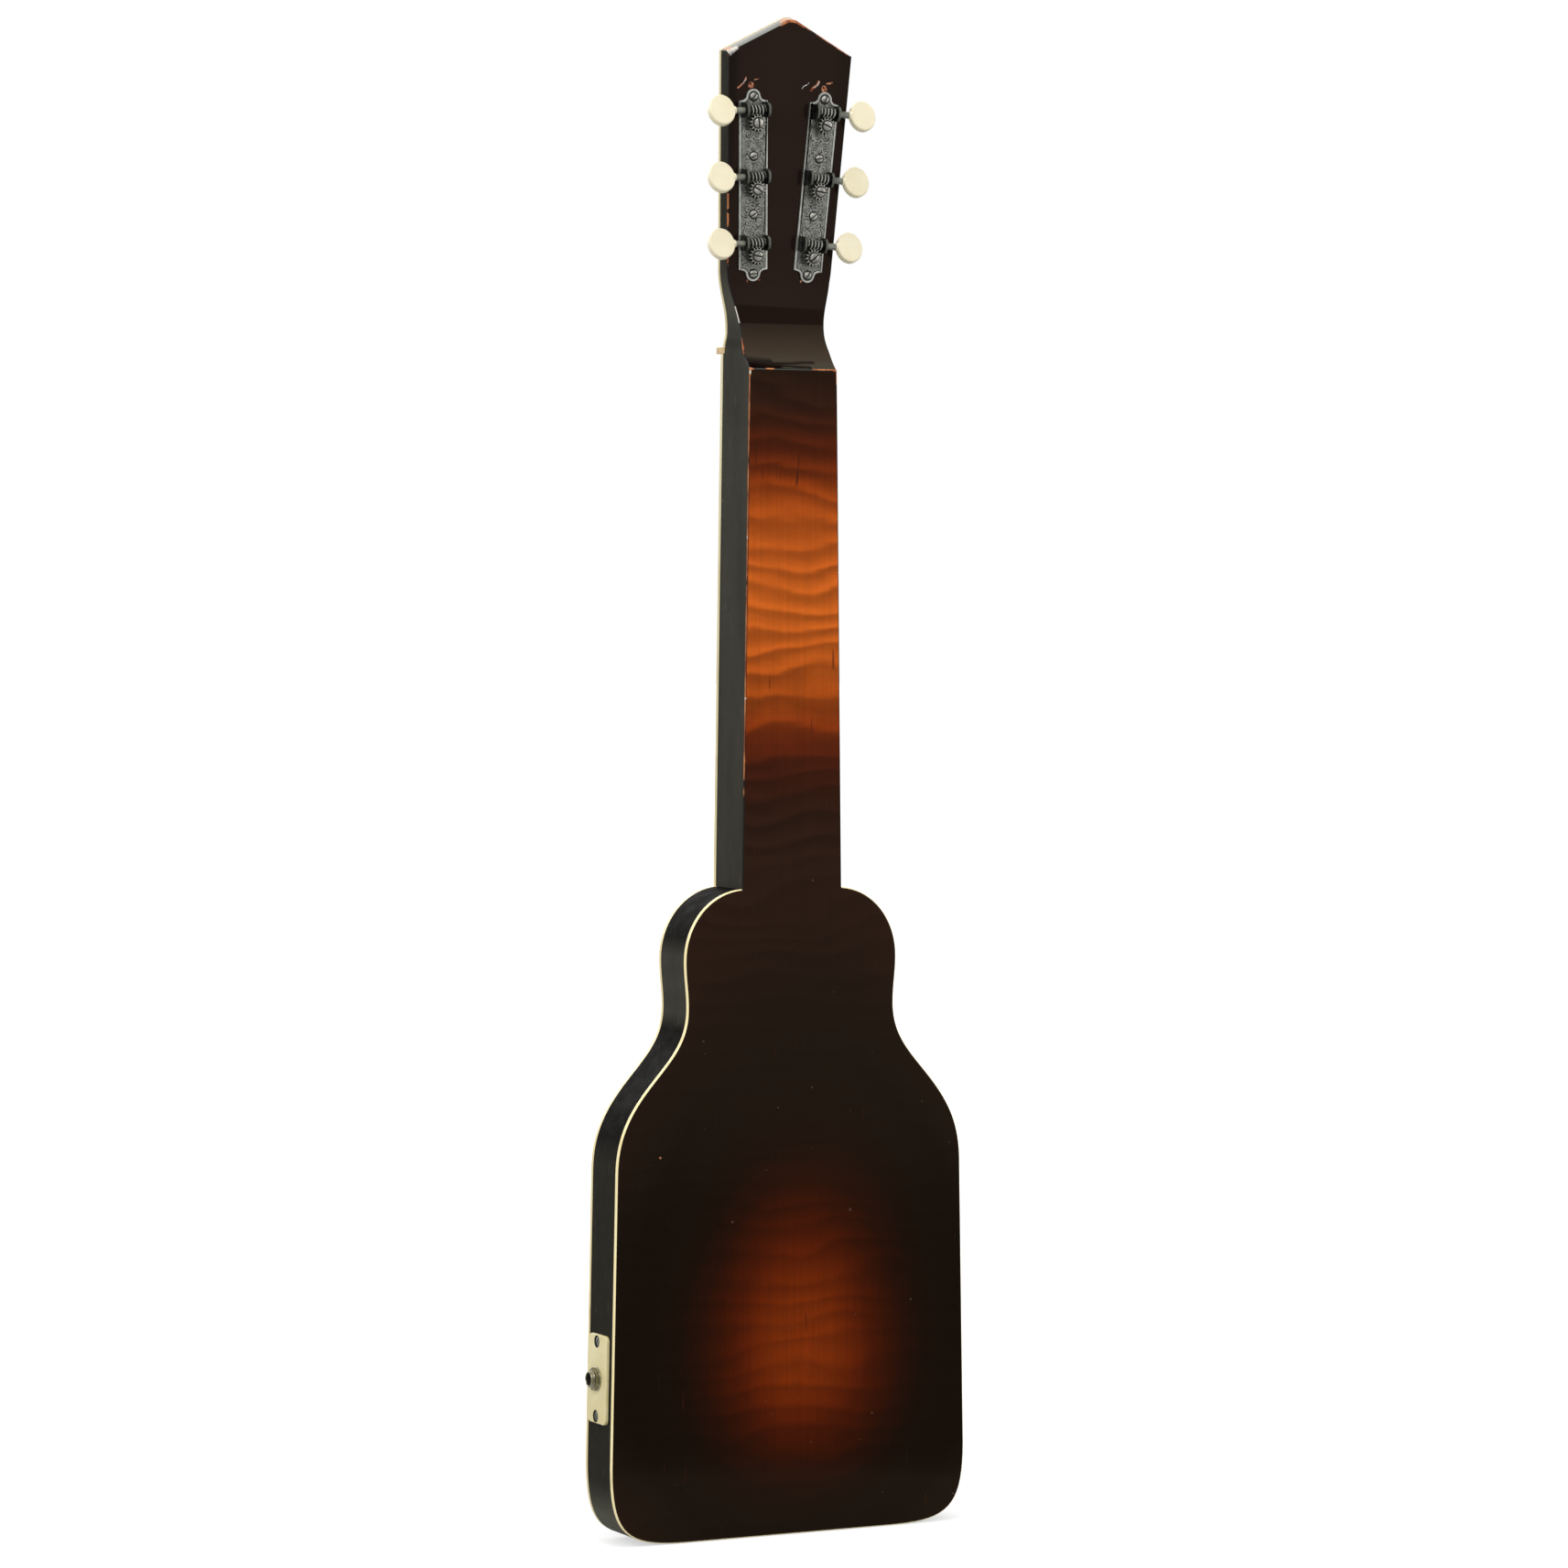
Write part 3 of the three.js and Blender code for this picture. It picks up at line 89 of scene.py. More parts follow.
class Value:
    """A node's output. Arithmetic with it adds a math node to the same tree."""

    def __init__(self, node, output):
        self.node, self.socket, self.tree = node, node.outputs[output], node.id_data

    def __add__(self, other):
        return calc("ADD", self, other)

    def __sub__(self, other):
        return calc("SUBTRACT", self, other)

    def __rsub__(self, other):
        return calc("SUBTRACT", other, self)

    def __mul__(self, other):
        return calc("MULTIPLY", self, other)

    def __truediv__(self, other):
        return calc("DIVIDE", self, other)

    def __pow__(self, power):
        return calc("POWER", self, power)

    def __gt__(self, other):
        return calc("GREATER_THAN", self, other)

    def __lt__(self, other):
        return calc("LESS_THAN", self, other)


def feed(node, **inputs):
    """Links a node's inputs or sets them. Text is a hex colour, and in5 is the input with number 5."""
    for key, value in inputs.items():
        target = node.inputs[int(key[2:]) if key[2:].isdigit() else key.replace("_", " ")]
        if isinstance(value, Value):
            value.tree.links.new(value.socket, target)
        else:
            target.default_value = colour(value) if isinstance(value, str) else value


def add(kind, settings=None, output=0, tree=None, **inputs):
    """Adds a node to the tree of its linked inputs, or to the given one, and returns one of its outputs."""
    tree = tree or next(v.tree for v in inputs.values() if isinstance(v, Value))
    made = tree.nodes.new(kind)
    for key, value in (settings or {}).items():
        setattr(made, key, value)
    feed(made, **inputs)
    return Value(made, output)


def calc(operation, *values):
    return add("ShaderNodeMath", {"operation": operation}, **{f"in{i}": v for i, v in enumerate(values)})


def vector(operation, *values, output=0):
    inputs = {f"in{i}": v for i, v in enumerate(values)}
    return add("ShaderNodeVectorMath", {"operation": operation}, output, **inputs)


def axes(place):
    node = add("ShaderNodeSeparateXYZ", in0=place).node
    return [Value(node, number) for number in range(3)]


def facing(place):
    """The surface's own direction, as numbers along X, Y and Z."""
    return axes(add("ShaderNodeTexCoord", output="Normal", tree=place.tree))


def blend(factor, low, high, kind="MIX"):
    return add("ShaderNodeMix", {"data_type": "RGBA", "blend_type": kind}, 2, in0=factor, in6=low, in7=high)


def ramp(factor, *stops):
    """Colours or numbers that change with a factor, from pairs of factor and colour or number."""
    made = add("ShaderNodeValToRGB", in0=factor)
    points = made.node.color_ramp.elements
    while len(points) < len(stops):
        points.new(0.5)
    for point, (place, value) in zip(points, stops):
        point.position = place
        point.color = colour(value) if isinstance(value, str) else (value, value, value, 1)
    return made


def mapped(value, low, high, at_low=0.0, at_high=1.0):
    """A number that goes from at_low to at_high while value goes from low to high."""
    return add("ShaderNodeMapRange", in0=value, in1=low, in2=high, in3=at_low, in4=at_high)


def noise(place, scale, detail=2.0, roughness=0.5):
    """A cloudy pattern. The scale is in waves per metre, so at 700 they are 1.4 mm apart."""
    return add("ShaderNodeTexNoise", in0=place, Scale=scale, Detail=detail, Roughness=roughness)


def stretched(place, x, y, z):
    """The place for a noise of scale 1 with so many waves per metre along each axis."""
    return add("ShaderNodeMapping", in0=place, Scale=(x, y, z))


def bump(height, strength, distance):
    return add("ShaderNodeBump", Height=height, Strength=strength, Distance=distance)


def start(name, **sockets):
    """A new material, its shader with some sockets set, and the place on the object."""
    material = bpy.data.materials.new(name)
    material.use_nodes = True
    shader = material.node_tree.nodes["Principled BSDF"]
    feed(shader, **sockets)
    return material, shader, add("ShaderNodeTexCoord", output="Object", tree=material.node_tree)


def spot(place, centre, reach, soft):
    """1 within reach of a point in millimetres, falling to 0 over a share of the reach."""
    away = vector("DISTANCE", place, [c * 0.001 for c in centre], output="Value")
    return mapped(away, reach * 0.001 * (1 - soft), reach * 0.001 * (1 + soft), 1.0, 0.0)


def scratch(flat, begin, end, width):
    """1 along a stroke between two points given as X and Z in millimetres, on a place with no Y."""
    first = Vector((begin[0], 0, begin[1])) * 0.001
    line = Vector((end[0], 0, end[1])) * 0.001 - first
    from_first = vector("SUBTRACT", flat, first)
    share = mapped(vector("DOT_PRODUCT", from_first, line, output="Value"), 0.0, line.length_squared)
    foot = add("ShaderNodeVectorMath", {"operation": "SCALE"}, in0=line, Scale=share)
    away = vector("DISTANCE", from_first, foot, output="Value")
    return mapped(away, width * 0.0003, width * 0.0007, 1.0, 0.0)


def most(masks):
    """The greatest of several masks, so that marks can lie over each other."""
    total = masks[0]
    for mask in masks[1:]:
        total = calc("MAXIMUM", total, mask)
    return total


def burst_on_body(x, z, drift):
    """The glow on the body is a drop, longer upwards, 7 mm off the centre line and 97 mm up. Its near-black ring and
    the lighter brown rim outside it are partly the burst's own dark edge and partly a painted reflection of a dark
    band in the lacquer.
    """
    rise = z - 0.097
    reach_z = rise * (0.94 - (rise > 0) * 0.3)
    reach_x = x + 0.007
    reach = calc("SQRT", reach_x ** 2 + reach_z ** 2) + drift
    return ramp(
        reach / 0.17,
        (0.0, "#822f04"), (0.1, "#782a03"), (0.18, "#621e01"), (0.235, "#4b1401"), (0.294, "#370d00"),
        (0.353, "#220702"), (0.42, "#120502"), (0.5, "#090402"), (0.6, "#060402"), (0.7, "#100906"),
        (0.86, "#1e100b"), (1.0, "#24130d"),
    )


def burst_on_neck(z, drift):
    """On the neck the amber runs from 430 to 560 mm up."""
    return ramp(
        (z - 0.37) / 0.25 + drift * 2.0,
        (0.0, "#23120c"), (0.06, "#251009"), (0.12, "#321007"), (0.16, "#401305"), (0.2, "#5a1d05"),
        (0.24, "#813008"), (0.29, "#98410d"), (0.4, "#bd5819"), (0.5, "#c75f1c"), (0.6, "#be581a"),
        (0.68, "#ad4d14"), (0.725, "#9d420f"), (0.755, "#843308"), (0.775, "#6e2806"), (0.82, "#521a05"),
        (0.87, "#3c1406"), (0.93, "#28110a"), (1.0, "#1b0e08"),
    )


def spray_on_head(place, x, z):
    """The back of the head is sprayed near black, with painted shade darkening it down its treble edge, and the scoop
    is greener.
    """
    head = ramp(
        calc("MULTIPLY_ADD", x, 12.5, 0.5),
        (0.05, "#120d0c"), (0.2, "#1b1412"), (0.6, "#1f1614"), (0.87, "#191212"),
        (0.895, "#0a0b0d"), (0.94, "#040405"),
    )
    # A near-black band across the top of the scoop is a painted reflection.
    scoop = ramp(
        (z - 0.6165) / 0.04,
        (0.05, "#33342a"), (0.13, "#3b3529"), (0.25, "#393026"), (0.655, "#241d18"),
        (0.67, "#0c0404"), (1.0, "#0d0504"),
    )
    # Dark streaks over the ridge, from the treble side to beyond the middle, are painted reflections.
    wander = add("ShaderNodeTexNoise", output="Color", in0=stretched(place, 60, 60, 200), Scale=1.0)
    flat = vector("MULTIPLY", vector("MULTIPLY_ADD", wander, (0.004, 0, 0.0024), place), (1, 0, 1))
    streak_reflections = [
        scratch(flat, (31, 623.6), (14, 623.0), 5.0), scratch(flat, (16, 622.9), (-11, 623.6), 1.5),
        scratch(flat, (27, 620.9), (9, 621.2), 2.8), scratch(flat, (9, 621.9), (-8, 621.0), 1.3),
    ]
    scoop = blend(most(streak_reflections), scoop, "#0a0302")
    return blend(mapped(calc("MULTIPLY_ADD", x, -0.03, z), 0.6516, 0.6526, 1.0, 0.0), head, scoop)


def sunburst_colours(place):
    """Amber in the middle of neck and body, near black towards every edge, over curly maple; on the body the darkest
    ring is partly a painted reflection.
    """
    x, _, z = axes(place)
    drift = (noise(place, 14) - 0.5) * 0.014
    burst = blend(z > BODY_END, burst_on_body(x, z, drift), burst_on_neck(z, drift))
    # Curly figure: soft waves across the grain, 12 mm apart, that swell, thin out and run together.
    sway = noise(stretched(place, 15, 15, 26), 1.0, 1.0)
    ragged = noise(stretched(place, 70, 70, 170), 1.0, 2.0)
    turn = calc("MULTIPLY_ADD", sway, 19.0, ragged * 2.2)
    phase = calc("MULTIPLY_ADD", z, 2 * math.pi / 0.0122, turn)
    wave = calc("SINE", calc("MULTIPLY_ADD", calc("SINE", phase), 0.6, phase))
    strength = ramp(noise(stretched(place, 30, 30, 45), 1.0), (0.35, 0.18), (0.6, 0.46))
    figure = calc("MULTIPLY_ADD", wave, strength * (1.0 - (z < BODY_END) * 0.6), 0.5)
    shine = ramp(figure, (0.04, 0.66), (0.35, 0.79), (0.6, 1.02), (0.78, 1.15), (0.96, 1.26))
    burst = blend(1.0, burst, shine, "MULTIPLY")
    # Grain lines and short dark mineral streaks run along the neck.
    grain = noise(stretched(place, 800, 800, 16), 1.0, 2.0)
    burst = blend(1.0, burst, ramp(grain, (0.3, 0.93), (0.65, 1.05)), "MULTIPLY")
    streaks = ramp(noise(stretched(place, 480, 480, 40), 1.0, 2.0), (0.68, 0), (0.73, 0.7))
    burst = blend(streaks * ramp(noise(place, 30, 1.0), (0.5, 0), (0.58, 1)), burst, "#2a1008")
    return blend(mapped(z, NECK_END, NECK_END + 0.0003), burst, spray_on_head(place, x, z))


def worn_through(place):
    """Where the lacquer is gone or dented on the head's back: round spare screw holes and in strokes; one pale stroke
    on the treble corner is a painted reflection.
    """
    wander = add("ShaderNodeTexNoise", output="Color", in0=place, Scale=450.0, Detail=2.0)
    shifted = vector("MULTIPLY_ADD", wander, (0.0014, 0, 0.0014), vector("MULTIPLY", place, (1, 0, 1)))
    flat = vector("SUBTRACT", shifted, (0.0007, 0, 0.0007))

    def strokes(*rows):
        return [scratch(flat, (x, z), (end_x, end_z), width) for x, z, end_x, end_z, width in rows]

    def dots(reach, soft, *places):
        return [spot(flat, (x, 0, z), reach, soft) for x, z in places]

    bare = strokes(
        (30.0, 766.1, 26.6, 768.6, 0.8), (26.4, 769.8, 25.5, 771.4, 0.7), (20.3, 770.5, 18.1, 771.2, 0.5),
        (-12.8, 766.4, -15.8, 768.9, 0.9), (-15.8, 768.9, -17.6, 771.3, 0.8), (-22.2, 770.2, -25.5, 770.8, 0.6),
    )
    bare += dots(1.6, 0.2, (22.3, 767.6), (-20.9, 767.4))
    bare += dots(0.5, 0.4, (19.1, 665.6), (11.7, 666.2), (-13.0, 666.1))
    bare += dots(0.6, 0.3, (77.2, 204.5))
    holes = dots(0.6, 0.3, (22.6, 768.3), (-20.5, 768.1))
    # The last pale stroke, on the rounding of the treble corner, is a painted reflection.
    pale = strokes(
        (-7.9, 767.2, -11.6, 770.1, 0.4), (27.2, 768.0, 25.4, 770.6, 0.45),
        (-15.6, 767.9, -17.9, 770.7, 0.45), (36.3, 783.2, 31.4, 787.2, 2.0),
    )
    return most(bare), most(holes), most(pale)


def sunburst_lacquer():
    # Nitrocellulose over maple: a glossy burst on the back, whose amber tints what it mirrors.
    material, shader, place = start(
        "sunburst_lacquer_on_curly_maple", Specular_IOR_Level=0.13, Specular_Tint="#ffcfa6",
    )
    _, depth, rise = axes(place)
    _, backwards, upwards = facing(place)
    back = ramp(backwards, (0.7, 0), (0.9, 1))
    bare, holes, pale = worn_through(place)
    rough = noise(place, 700, 2.0)
    base = blend(bare * back, sunburst_colours(place), ramp(rough, (0.4, "#7c3a24"), (0.6, "#c98f70")))
    base = blend(holes * back, base, "#2a120c")
    base = blend(pale * back, base, ramp(rough, (0.35, "#8d8a88"), (0.6, "#dad8d5")))
    # The gable's two upper faces carry a painted sheen, pale grey and darker towards the back, and are rubbed to bare
    # maple round the point and the corners.
    gable_sheen = ramp(depth * 70, (0.15, "#acaca4"), (0.6, "#8b8c85"), (0.9, "#3f403a"))
    ragged = (noise(place, 260, 3.0) - 0.5) * 0.9
    rubbed = ((-3.0, 7.5, 803.5), 5.8, 0.25), ((0.5, 14.5, 803), 7.0, 0.25), ((36.2, 7.0, 785.0), 4.6, 0.3)
    worn = [spot(place, *row) + ragged for row in rubbed]
    maple = blend(ramp(most(worn), (0.5, 0), (0.6, 1)), gable_sheen, "#cf8f60")
    base = blend(ramp(upwards, (0.35, 0), (0.5, 1)) * (rise > 0.75), base, maple)
    # A few specks of dust and pinhead chips on the body.
    speck = ramp(noise(place, 300, 0.0), (0.85, 0), (0.865, 0.18))
    base = blend(speck * (rise < 0.36), base, "#8a7a68")
    haze = ramp(noise(place, 9, 4.0, 0.6), (0.3, 0.1), (0.7, 0.17))
    feed(shader, Base_Color=base, Roughness=haze, Normal=bump(noise(place, 260, 2.0), 0.05, 0.0003))
    return material


def rubbed_black_lacquer_with_painted_shade():
    # Black lacquer rubbed to a satin: charcoal where the sides stand upright, with painted shade where they face up
    # and painted light where they face down, and darker low on the body and on the head.
    material, shader, place = start("rubbed_black_lacquer_with_painted_shade", Specular_IOR_Level=0.01)
    rise = axes(place)[2]
    upwards = facing(place)[2]
    rubbed = noise(stretched(place, 60, 60, 12), 1.0, 3.0)
    charcoal = ramp(rubbed, (0.3, "#34322c"), (0.7, "#3e3c35"))
    body = blend(ramp(rise, (0.2, 0.85), (0.25, 0)), charcoal, "#24221c")
    low = blend(ramp(upwards * -1.0, (0.05, 0), (0.4, 1)), body, "#56554a")
    dark = blend(ramp(upwards, (0.06, 0), (0.3, 1)), low, "#0b0907")
    head = blend(ramp(rise, (0.655, 0), (0.69, 1)), dark, "#26251f")
    # Dust and handling marks: fine pale scuffs along the side.
    scuff = ramp(noise(stretched(place, 900, 900, 60), 1.0, 3.0), (0.66, 0), (0.74, 0.35))
    mottle = ramp(noise(place, 140, 3.0), (0.3, 0.42), (0.7, 0.58))
    relief = bump(noise(place, 700, 2.0), 0.06, 0.0003)
    feed(shader, Base_Color=blend(scuff, head, "#6b675c"), Roughness=mottle, Normal=relief)
    return material


def worn_edge():
    # Lacquer rubbed through along an edge: amber wood in broken runs, with a few pale chips and painted highlights.
    material, shader, place = start("lacquer_worn_to_the_maple_with_painted_sheen_and_glints", Roughness=0.3, Specular_IOR_Level=0.12)
    _, depth, rise = axes(place)
    sideways, _, upwards = facing(place)
    broken = noise(stretched(place, 130, 130, 45), 1.0, 4.0, 0.6)
    # Down the treble edge of the neck's back a hairline is worn, on the side's half of the rounding.
    down_neck = ramp(rise, (0.385, 0), (0.41, 0.3), (0.6, 0.3), (0.616, 0.2))
    down_neck = down_neck * ramp(sideways, (0.4, 0), (0.55, 1)) * (depth > 0.0162)
    # The ridge is worn at its ends and in one short run, on the scoop's half of the rounding.
    upper_half = ramp(upwards, (0.2, 0), (0.35, 1))
    thin_side = ramp(sideways, (0.45, 0), (0.55, 1))
    amounts = [down_neck]
    for centre, reach, soft, half, amount in (
        ((-19, 17, 618.2), 8, 0.2, upper_half, 0.34), ((-25.6, 16.6, 615), 3.8, 0.25, None, 0.5),
        ((14, 17, 618.7), 2.4, 0.3, upper_half, 0.3), ((25.6, 17, 617.4), 2.2, 0.3, None, 0.3),
        ((33.4, 3.8, 707), 4.5, 0.3, None, 0.3), ((32.7, 2.6, 696.5), 4.5, 0.3, None, 0.3),
        ((31.2, 0.5, 676.6), 2.4, 0.3, None, 0.25), ((0.5, 14, 803), 7, 0.3, None, 0.5),
        ((-21, 13, 792), 17, 0.3, upper_half, 0.3), ((36, 12, 784.5), 3, 0.3, None, 0.25),
        ((25, 6, 630), 7, 0.3, thin_side, 0.13),
    ):
        mark = spot(place, centre, reach, soft)
        amounts.append((mark * half if half else mark) * amount)
    worn = ramp(broken + most(amounts), (0.66, 0), (0.7, 1))
    bare = ramp(noise(stretched(place, 300, 300, 90), 1.0, 2.0), (0.35, "#7a3d25"), (0.62, "#c07a4c"))
    edge = blend(worn, "#15100c", bare)
    # Beside the head's treble slope the rounding carries the same painted grey sheen as the slope.
    slope = spot(place, (21, 13, 793), 17, 0.1) * ramp(upwards, (0.22, 0), (0.34, 1))
    edge = blend(slope, edge, "#8b8c85")
    # A thin grey line lies along the crest of the ridge. Pale chips lie where the edge is worn, and pale painted
    # highlights sit on the scoop's treble edge, at the ridge's treble end and on the head's treble corner.
    ridge_line = spot(place, (5, 17, 618.5), 22, 0.05) * upper_half * ramp(upwards, (0.4, 1), (0.5, 0))
    edge = blend(calc("MAXIMUM", ridge_line * 0.6 - worn, 0.0), edge, "#72746d")
    glints = [
        spot(place, (24.8, 1.5, 648), 5, 0.2) * thin_side * 0.5,
        spot(place, (25.2, 17, 616.8), 1.0, 0.3) * 0.5,
        spot(place, (34.2, 12.3, 786.6), 3.4, 0.3) * 0.6,
        most(amounts) * 0.12,
    ]
    chips_and_glints = noise(place, 210, 2.0) + most(glints)
    feed(shader, Base_Color=blend(ramp(chips_and_glints, (0.72, 0), (0.76, 1)), edge, "#d9d2c6"))
    return material


def aged_celluloid():
    # Grained ivory-coloured celluloid, yellowed by its lacquer, with lines that run along the strip.
    material, shader, place = start("aged_celluloid_binding", Roughness=0.3)
    _, depth, rise = axes(place)
    lines = noise(stretched(place, 500, 900, 30), 1.0, 2.0)
    light = ramp(lines, (0.3, "#f6e0a2"), (0.6, "#fff0ba"))
    dark = ramp(lines, (0.3, "#c0b07a"), (0.6, "#d4c796"))
    # The body's front strip is a shade deeper than the back one, and the neck's strip is dark.
    light = blend((depth < 0) * 0.45, light, "#c9b47c")
    cream = blend(ramp(rise, (0.352, 0), (0.37, 1)), light, dark)
    stain = ramp(noise(place, 45, 3.0, 0.6), (0.6, 0), (0.75, 0.5))
    feed(shader, Base_Color=blend(stain, cream, "#b79a5c"), Normal=bump(lines, 0.05, 0.0003))
    return material


def rosewood_board():
    # Oiled rosewood: chocolate brown, darker streaks and open pores along the grain.
    material, shader, place = start("oiled_rosewood")
    streak = noise(stretched(place, 160, 160, 9), 1.0, 4.0, 0.6)
    wood = ramp(streak, (0.3, "#1d110c"), (0.55, "#35211a"), (0.75, "#4a2d20"))
    pores = noise(stretched(place, 1500, 1500, 110), 1.0, 1.0)
    base = blend(ramp(pores, (0.62, 0), (0.68, 0.8)), wood, "#0f0806")
    feed(shader, Base_Color=base, Normal=bump(pores, 0.2, 0.0004))
    return material


def plain_finish(name, dark, light, scale, roughness, metallic=0.0, grit=0.0, **sockets):
    """A surface whose colour wanders between two near values, with its roughness mottled the same way."""
    material, shader, place = start(name, Metallic=metallic, **sockets)
    cloud = ramp(noise(place, scale, 4.0, 0.6), (0.32, dark), (0.68, light))
    mottle = ramp(noise(place, scale * 2.7, 3.0), (0.3, roughness * 0.8), (0.7, roughness * 1.25))
    feed(shader, Base_Color=cloud, Roughness=mottle)
    if grit:
        feed(shader, Normal=bump(noise(place, 1400, 2.0), grit, 0.0002))
    return material


def wound_string():
    # Nickel wire wrapped round a steel core, darker between the turns as painted shade. The real pitch is 0.25 mm,
    # drawn at 0.8 mm so that it shows.
    material, shader, place = start("nickel_wound_string", Roughness=0.35, Metallic=1.0)
    wrap = calc("MULTIPLY_ADD", calc("SINE", axes(place)[2] * (2 * math.pi / 0.0008)), 0.5, 0.5)
    feed(shader, Base_Color=ramp(wrap, (0.0, "#57544e"), (0.6, "#a8a59c")), Normal=bump(wrap, 0.5, 0.0002))
    return material


def engraved_nickel():
    # Stamped plates of nickelled steel, dulled to grey, with worn scrolls cut black.
    # The pattern reads the plate's own map, in millimetres across it and along it from the first post.
    material, shader, place = start("engraved_nickel_plate", Roughness=0.38, Metallic=0.85)
    flat = add("ShaderNodeUVMap", {"uv_map": "plate"}, tree=place.tree)
    across, along, _ = axes(flat)
    # The cuts are 0.3 mm wide and 1 mm apart in the real plate, drawn at 1.6 mm so that they show.
    repeat = calc("PINGPONG", along + 20, 5.8) - 2.9
    reach = calc("ABSOLUTE", across) - 3.2
    radius = vector("LENGTH", add("ShaderNodeCombineXYZ", X=reach, Y=repeat), output="Value")
    phase = radius * 2.0 + calc("ARCTAN2", repeat, reach)
    wave = calc("SINE", phase + noise(flat, 0.3, 2.0) * 7.0)
    scroll = ramp(calc("ABSOLUTE", wave), (0.28, 1), (0.62, 0))
    patch = ramp(noise(flat, 0.25, 2.0), (0.35, 0.2), (0.55, 1))
    pit = ramp(noise(flat, 0.9, 1.0), (0.66, 0), (0.7, 1))
    lines = calc("MAXIMUM", scroll * patch, pit)
    grey = ramp(noise(flat, 0.3, 4.0, 0.65), (0.3, "#5f605a"), (0.7, "#95968f"))
    feed(shader, Base_Color=blend(lines * 0.95, grey, "#0d0d0b"), Normal=bump(lines * -1.0, 0.5, 0.0003))
    return material


def ivory_button():
    # Moulded ivory-coloured plastic: soft-looking, and a little darker where fingers have left it alone.
    material, shader, place = start(
        "ivory_button_plastic", Roughness=0.32,
        Subsurface_Weight=0.08, Subsurface_Radius=(0.002, 0.0014, 0.0008),
    )
    feed(shader, Base_Color=ramp(noise(place, 60, 3.0, 0.55), (0.3, "#e9dfbc"), (0.7, "#f2e9cb")))
    return material


LACQUER = sunburst_lacquer()
SIDES = rubbed_black_lacquer_with_painted_shade()
WORN = worn_edge()
CELLULOID = aged_celluloid()
ROSEWOOD = rosewood_board()
WOUND_WIRE = wound_string()
PLATE = engraved_nickel()
IVORY = ivory_button()
# Flat and smooth: only a faint highlight shows that it is lacquer.
OVERLAY = plain_finish(
    "black_lacquered_overlay", "#0e0c0b", "#171412", 30, 0.22, grit=0.02, Specular_IOR_Level=0.12,
)
# Yellow-brown with age and handling, with a dull polish.
BONE = plain_finish("aged_bone", "#b39152", "#ceb078", 90, 0.4)
# Bright drawn wire, the cleanest metal on the part.
STEEL_WIRE = plain_finish("plain_steel_wire", "#a9abac", "#c9cbcc", 40, 0.24, 1.0)
# Plating that has lost its mirror: a warm grey with cloudy patches.
NICKEL = plain_finish("dulled_nickel_plating", "#85857f", "#a9a8a0", 140, 0.32, 0.95, 0.03)
# Screw heads, bright where a screwdriver rubs; the black in their slots and seats is painted shade.
BRIGHT_SCREW = plain_finish("nickelled_screw", "#6f6e68", "#b0aea5", 260, 0.3, 0.95, 0.03)
# Plate edges that hands keep clean, and the worms' crests as a painted highlight.
RIM_AND_CREST_HIGHLIGHT = plain_finish("nickel_rubbed_bright_and_crest_highlight", "#8f9089", "#b4b5ad", 200, 0.3, 0.9, 0.03)
# Bare steel in three tones: grey where handled, also as painted light on the worms' shafts; the gears' lit tops with
# painted highlights on their tooth tips; the ears' lit tops.
GREY_AND_LIT_STEEL = plain_finish("steel_rubbed_grey_with_painted_light", "#62635a", "#85867a", 240, 0.36, 0.85, 0.04)
LIT_GEAR_STEEL = plain_finish("gear_steel_with_painted_highlights", "#74756c", "#9a9b90", 240, 0.33, 0.9, 0.04)
EAR_STEEL = plain_finish("ear_steel_lit_on_top", "#4a4b44", "#62635a", 240, 0.4, 0.85, 0.04)
# Old plating with a yellow cast.
JACK_NICKEL = plain_finish("nickel_gone_yellow", "#77735c", "#a8a38a", 140, 0.3, 0.95, 0.03)
# Black with no shine: old dirt in the plates' cut line, and painted shade in screw slots and seats, countersink walls
# and the jack's bore.
SHADE_AND_GRIME = plain_finish("oil_and_dirt_in_gaps", "#050505", "#0d0c0b", 300, 0.7)
# Near black with a dull metal gleam: painted shade on the gears' flanks and gaps, the worms' thread roots and the
# ears' flanks.
SHADED_STEEL = plain_finish("steel_in_painted_shade", "#1d1d1b", "#3a3a37", 220, 0.38, 0.85, 0.05)
# Opaque cream plastic, evenly coloured and half glossy.
CREAM_PLATE = plain_finish("cream_plastic_plate", "#dccd96", "#ebe0b0", 70, 0.35)
# Hard moulded plastic, black with a clear gloss.
BLACK_PLASTIC = plain_finish("black_phenolic", "#0c0b0b", "#171615", 60, 0.25)
# Enamelled wire in layers: dark copper red.
WIRE_COIL = plain_finish("enamelled_copper_coil", "#3f1c10", "#6b321b", 200, 0.45, 0.4)
# Rough dark grey, with a dry metal gleam.
MAGNET = plain_finish("sintered_magnet", "#4c4e50", "#66686a", 200, 0.6, 0.8, 0.1)
# Pale and smooth, with a cool cloud in it.
PEARL = plain_finish("pearl_marker", "#c9cfc8", "#eef0e6", 260, 0.22)
# Plated sheet metal, grey with a yellow tinge.
POT_CASE = plain_finish("zinc_plated_case", "#8c8a80", "#aaa79b", 120, 0.4, 0.9)


# Shaping

